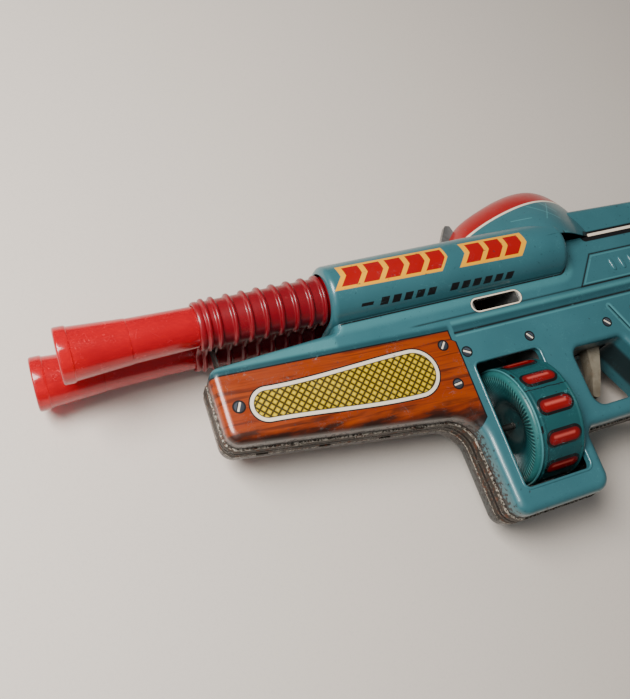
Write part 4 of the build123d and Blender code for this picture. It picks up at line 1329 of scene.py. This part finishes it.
@dataclass
class DrumMagazine:
    """Drum: wrapped shell with raised capsules and a dished, fluted front disc."""

    axis_y: float = -76.9
    start_x: float = 184.0
    end_x: float = 207.0
    base_r: float = 27.8
    raise_by: float = 0.55
    capsules: int = 12
    middle_x: float = 196.0
    flutes: int = 88

    def shell_grid(self) -> np.ndarray:
        """Points of the shell.

        The radius is the base, plus beads at both ends, plus a smooth step where the distance
        to the nearest capsule's edge is negative, and the wall closes on a plain inner cylinder.

        Returns:
            (rows, columns, 3) points.
        """
        x = np.linspace(self.start_x, self.end_x, 60)[:, None]
        turn = np.linspace(0.0, 2 * np.pi, self.capsules * 46, endpoint=False)[None, :]
        pitch = 2 * np.pi / self.capsules
        across = ((turn / pitch + 0.5) % 1.0 - 0.5) * pitch * self.base_r
        along = np.clip(x - self.middle_x, -5.3, 5.3)
        edge = np.hypot(x - self.middle_x - along, across) - 3.6
        step = np.clip((0.5 - edge) / 1.1, 0.0, 1.0)
        radius = self.base_r + self.raise_by * step * step * (3 - 2 * step)
        for bead_x in (self.start_x + 0.6, self.start_x + 2.9, self.end_x - 0.7):
            radius = radius + 0.35 * np.exp(-((x - bead_x) / 0.55) ** 2)
        seam = turn * self.base_r - 8.6 - 0.5 * np.sin(x * 0.9)
        radius = radius - 0.18 / (1 + np.exp(-seam * 5)) * (np.abs(seam) < 4)
        inner = np.full((2, turn.shape[1]), self.base_r - 0.45)
        ends = np.array([[self.end_x], [self.start_x]])
        along_x = np.concatenate([x, ends]) + 0 * turn
        r = np.concatenate([radius, inner])
        return np.stack([along_x, self.axis_y + r * np.sin(turn), r * np.cos(turn)], -1)

    def disc_grid(self) -> np.ndarray:
        """Points of the front disc: a dished profile, with flutes as a cosine round it.

        Returns:
            (rows, columns, 3) points.
        """
        rim, bore, x = 27.3, 1.55, self.start_x
        front = np.array([[x + 1.5, rim], [x + 0.1, rim], [x - 1.0, rim - 0.7],
                          [x - 1.5, rim - 1.9], [x - 1.2, rim - 4.5], [x + 1.6, rim - 12.6],
                          [x + 5.5, rim - 19.0], [x + 5.5, bore]])
        front = rounded(front, 0.5, 5)
        turn = np.linspace(0.0, 2 * np.pi, self.flutes * 8, endpoint=False)[None, :]
        r = front[:, 1:]
        window = 1 / (1 + np.exp(-(r - 12.8) * 2)) / (1 + np.exp((r - 23.4) * 2))
        wave = -0.38 * np.cos(turn * self.flutes) * window
        back = front[::-1] + np.array([0.5, 0.0])
        back[-1, 1] = back[-1, 1] - 0.35
        x_all = np.concatenate([front[:, :1] + wave, back[:, :1] + 0 * turn])
        r_all = np.concatenate([r + 0 * turn, back[:, 1:] + 0 * turn])
        return np.stack([x_all, self.axis_y + r_all * np.sin(turn), r_all * np.cos(turn)], -1)

    def build(self, shop: Shop) -> None:
        """Makes both pieces and dresses the rest of the drum."""
        shell = Surface("drum_wrap", "drum", "painted_tin", shop.drum, 60.0)
        shell.make([self.shell_grid()], True, True, ["drum_shell"])
        disc = Surface("drum_fluted_disc", "drum", "painted_tin", shop.fluted, 60.0)
        disc.make([self.disc_grid()], True, True, ["drum_front_disc"])
        dress(shop.fluted, "drum_rear_disc")


@dataclass
class TinBody:
    """Printed tin body with its rolled window edges and stamped louvres."""

    window: tuple[float, float, float, float] = (173.3, 208.6, -106.9, -46.9)
    corner: float = 3.0
    bead: float = 0.75
    louvre_x: float = 269.0
    louvre_y: float = -15.6
    louvre_pitch: float = 6.0
    louvre_count: int = 7

    def window_bead(self, side: float) -> np.ndarray:
        """Round bead carried round the drum window's edge.

        The path is a rectangle with quarter circles at its corners, and the section a circle
        in the plane of the path's outward direction and Z.

        Args:
            side: 1 on the left face, -1 on the right.

        Returns:
            (points round the path, points round the section, 3) points.
        """
        low_x, high_x, low_y, high_y = self.window
        middle_x, middle_y = (low_x + high_x) / 2, (low_y + high_y) / 2
        turn = np.linspace(0.0, np.pi / 2, 8)
        centres = ((high_x, high_y, 0), (low_x, high_y, 1), (low_x, low_y, 2), (high_x, low_y, 3))
        path, out = [], []
        for cx, cy, quarter in centres:
            angle = turn + quarter * np.pi / 2
            way = np.stack([np.cos(angle), np.sin(angle)], 1)
            middle = np.array([cx - np.sign(cx - middle_x) * self.corner,
                               cy - np.sign(cy - middle_y) * self.corner])
            path.append(middle + way * (self.corner + 0.25))
            out.append(way)
        path_xy, out_xy = np.vstack(path), np.vstack(out)
        around = np.linspace(0.0, 2 * np.pi, 12, endpoint=False)[None, :, None]
        flat = path_xy[:, None, :] + self.bead * np.cos(around) * out_xy[:, None, :]
        z = side * (BODY.half - 0.35) + self.bead * np.sin(around)
        return np.concatenate([flat, np.broadcast_to(z, flat.shape[:2] + (1,))], axis=-1)

    def louvre(self, number: int, side: float) -> np.ndarray:
        """One stamped louvre: a leaning, blunt-ended swelling.

        Each of its three directions follows a cosine or sine raised to a power below one, which
        squares the ends, and it leans with Y.

        Args:
            number: its place in the row.
            side: 1 on the left face, -1 on the right.

        Returns:
            (rows, columns, 3) points.
        """
        rise = np.linspace(-np.pi / 2, np.pi / 2, 13)[:, None]
        turn = np.linspace(0.0, 2 * np.pi, 24, endpoint=False)[None, :]

        def blunt(value: np.ndarray) -> np.ndarray:
            """Keeps the sign and squares off the curve."""
            return np.sign(value) * np.abs(value) ** 0.7

        up = 3.6 * blunt(np.cos(rise)) * blunt(np.sin(turn))
        over = 1.25 * blunt(np.cos(rise)) * blunt(np.cos(turn)) - up * 0.12
        out = 0.95 * blunt(np.sin(rise)) + 0 * turn
        x = self.louvre_x + number * self.louvre_pitch + over
        y = self.louvre_y + up
        return np.stack([x, y, side * (BODY.half - 0.1) + out], -1)

    def build(self, shop: Shop) -> None:
        """Dresses the shells and adds the beads and louvres."""
        dress(shop.body, "shell_left", "shell_right", "battery_door")
        bead = Surface("window_beads", "body", "painted_tin", shop.body)
        bead.make([self.window_bead(1.0), self.window_bead(-1.0)], True, True)
        row = [self.louvre(k, side) for side in (1.0, -1.0) for k in range(self.louvre_count)]
        Surface("stamped_louvres", "body", "painted_tin", shop.body).make(row, False, True)


@dataclass
class Metalwork:
    """Steel, brass and fibre pieces inside and outside the body."""

    steel: tuple[str, ...] = ("front_sight", "door_hinge_leaf", "door_catch",
                              "gear_plate", "crank_plate", "motor_plate",
                              "rocker_bracket", "rocker_arm", "rocker_post", "carriage_left",
                              "carriage_right", "crank_disc", "lamp_holder", "cell_plate")
    shafts: tuple[str, ...] = ("crank_shaft", "layshaft", "motor_shaft",
                               "idler_1_stud", "idler_2_stud", "trigger_pin", "door_hinge_pin",
                               "trigger_spring")
    gears: tuple[str, ...] = ("crank_gear", "layshaft_pinion", "layshaft_gear", "idler_1",
                              "idler_2", "drum_gear", "motor_pinion", "switch_blades",
                              "front_contacts", "door_contact", "lamp_base")

    def build(self, shop: Shop) -> None:
        """Dresses every remaining CAD node."""
        dress(shop.strip, "seam_strip", "shell_tabs")
        dress(shop.zinc, *self.steel)
        dress(shop.shaft, *self.shafts)
        dress(shop.oiled, "drum_shaft", "drum_plate", "sleeve_bracket")
        dress(shop.brass, *self.gears)
        dress(shop.trigger, "trigger")
        dress(shop.motor, "motor_can", "motor_armature")
        dress(shop.fibre, "motor_cap", "switch_block")
        dress(shop.cell, "cell_left", "cell_right")
        dress(shop.glass, "lamp_glass")


@dataclass
class Studio:
    """Pale board, soft lights and the camera."""

    board_half: float = 1600.0
    board_gap: float = 0.05
    key_watts: float = 12.6
    fill_watts: float = 1.0
    world_strength: float = 0.16
    lens: float = 39.14
    eye: tuple[float, float, float] = (-1.7, -121.5, 311.2)
    right: tuple[float, float, float] = (0.92155, -0.31793, 0.22287)
    upward: tuple[float, float, float] = (0.21910, 0.89972, 0.37749)
    back: tuple[float, float, float] = (-0.32054, -0.29904, 0.89879)

    def board(self) -> None:
        """Flat board just under the gun."""
        span = np.linspace(-self.board_half, self.board_half, 9)
        x, y = np.meshgrid(span, span, indexing="ij")
        low = -AXES.zero[2] / MM - self.board_gap
        points = AXES.metres(np.stack([x, y, 0 * x + low], -1).reshape(-1, 3))
        mesh = bpy.data.meshes.new("backdrop")
        mesh.from_pydata(points.tolist(), [], grid_faces(9, 9, False, False).tolist())
        mesh.materials.append(FloorPaper().build())
        floor = bpy.data.objects.new("backdrop", mesh)
        bpy.context.scene.collection.objects.link(floor)

    def lamp(self, name: str, place: Sequence[float], aim: Sequence[float], watts: float,
             size: Sequence[float], tint: Sequence[float]) -> None:
        """One soft box.

        Args:
            name: its name.
            place: where it hangs, in metres.
            aim: the point that it faces.
            watts: its power.
            size: its length and width.
            tint: its colour.
        """
        light = bpy.data.lights.new(name, "AREA")
        light.shape = "RECTANGLE"
        light.size, light.size_y = size
        light.energy = watts
        light.color = tint
        lamp = bpy.data.objects.new(name, light)
        away = Matrix.Translation(place)
        way = (Matrix.Translation(aim).translation - away.translation).normalized()
        lamp.matrix_world = away @ way.to_track_quat("-Z", "Y").to_matrix().to_4x4()
        bpy.context.scene.collection.objects.link(lamp)

    def lights(self) -> None:
        """Key high over the muzzles, fill from the camera's left, and a soft room."""
        self.lamp("key", (-0.46, 0.15, 0.64), (-0.36, -0.02, 0.0), self.key_watts, (0.40, 0.35),
                  (1.0, 0.97, 0.93))
        self.lamp("fill", (-0.65, -0.25, 0.55), (-0.10, 0.0, 0.0), self.fill_watts, (0.6, 0.6),
                  (0.95, 0.97, 1.0))
        world = bpy.data.worlds.new("soft room")
        world.use_nodes = True
        ground = world.node_tree.nodes["Background"]
        ground.inputs["Color"].default_value = (0.93, 0.95, 1.0, 1.0)
        ground.inputs["Strength"].default_value = self.world_strength
        bpy.context.scene.world = world

    def camera(self) -> None:
        """Camera low over the fore-end, looking down and to the rear of the gun."""
        view = bpy.data.cameras.new("camera")
        view.lens, view.sensor_width, view.clip_start = self.lens, 36.0, 0.01
        eye = AXES.metres(np.array(self.eye))
        camera = bpy.data.objects.new("camera", view)
        camera.matrix_world = Matrix([*zip(self.right, self.upward, self.back, eye),
                                      (0.0, 0.0, 0.0, 1.0)])
        bpy.context.scene.collection.objects.link(camera)
        bpy.context.scene.camera = camera

    def build(self) -> None:
        """Sets the whole studio up."""
        self.camera()
        self.lights()
        self.board()


def main() -> None:
    """Builds the studio, then each sub-assembly in order."""
    logging.basicConfig(level=logging.INFO, format="%(name)s %(message)s")
    Studio().build()
    shop = Shop()
    TinBody().build(shop)
    RibbedSleeve().build(shop)
    Barrel("clear_barrel_left", "left_barrel", "barrel_left", 0.0, 12.75).build(shop)
    Barrel("clear_barrel_right", "right_barrel", "barrel_right", -11.7, -12.75).build(shop)
    DrumMagazine().build(shop)
    Metalwork().build(shop)


if __name__ == "__main__":
    main()
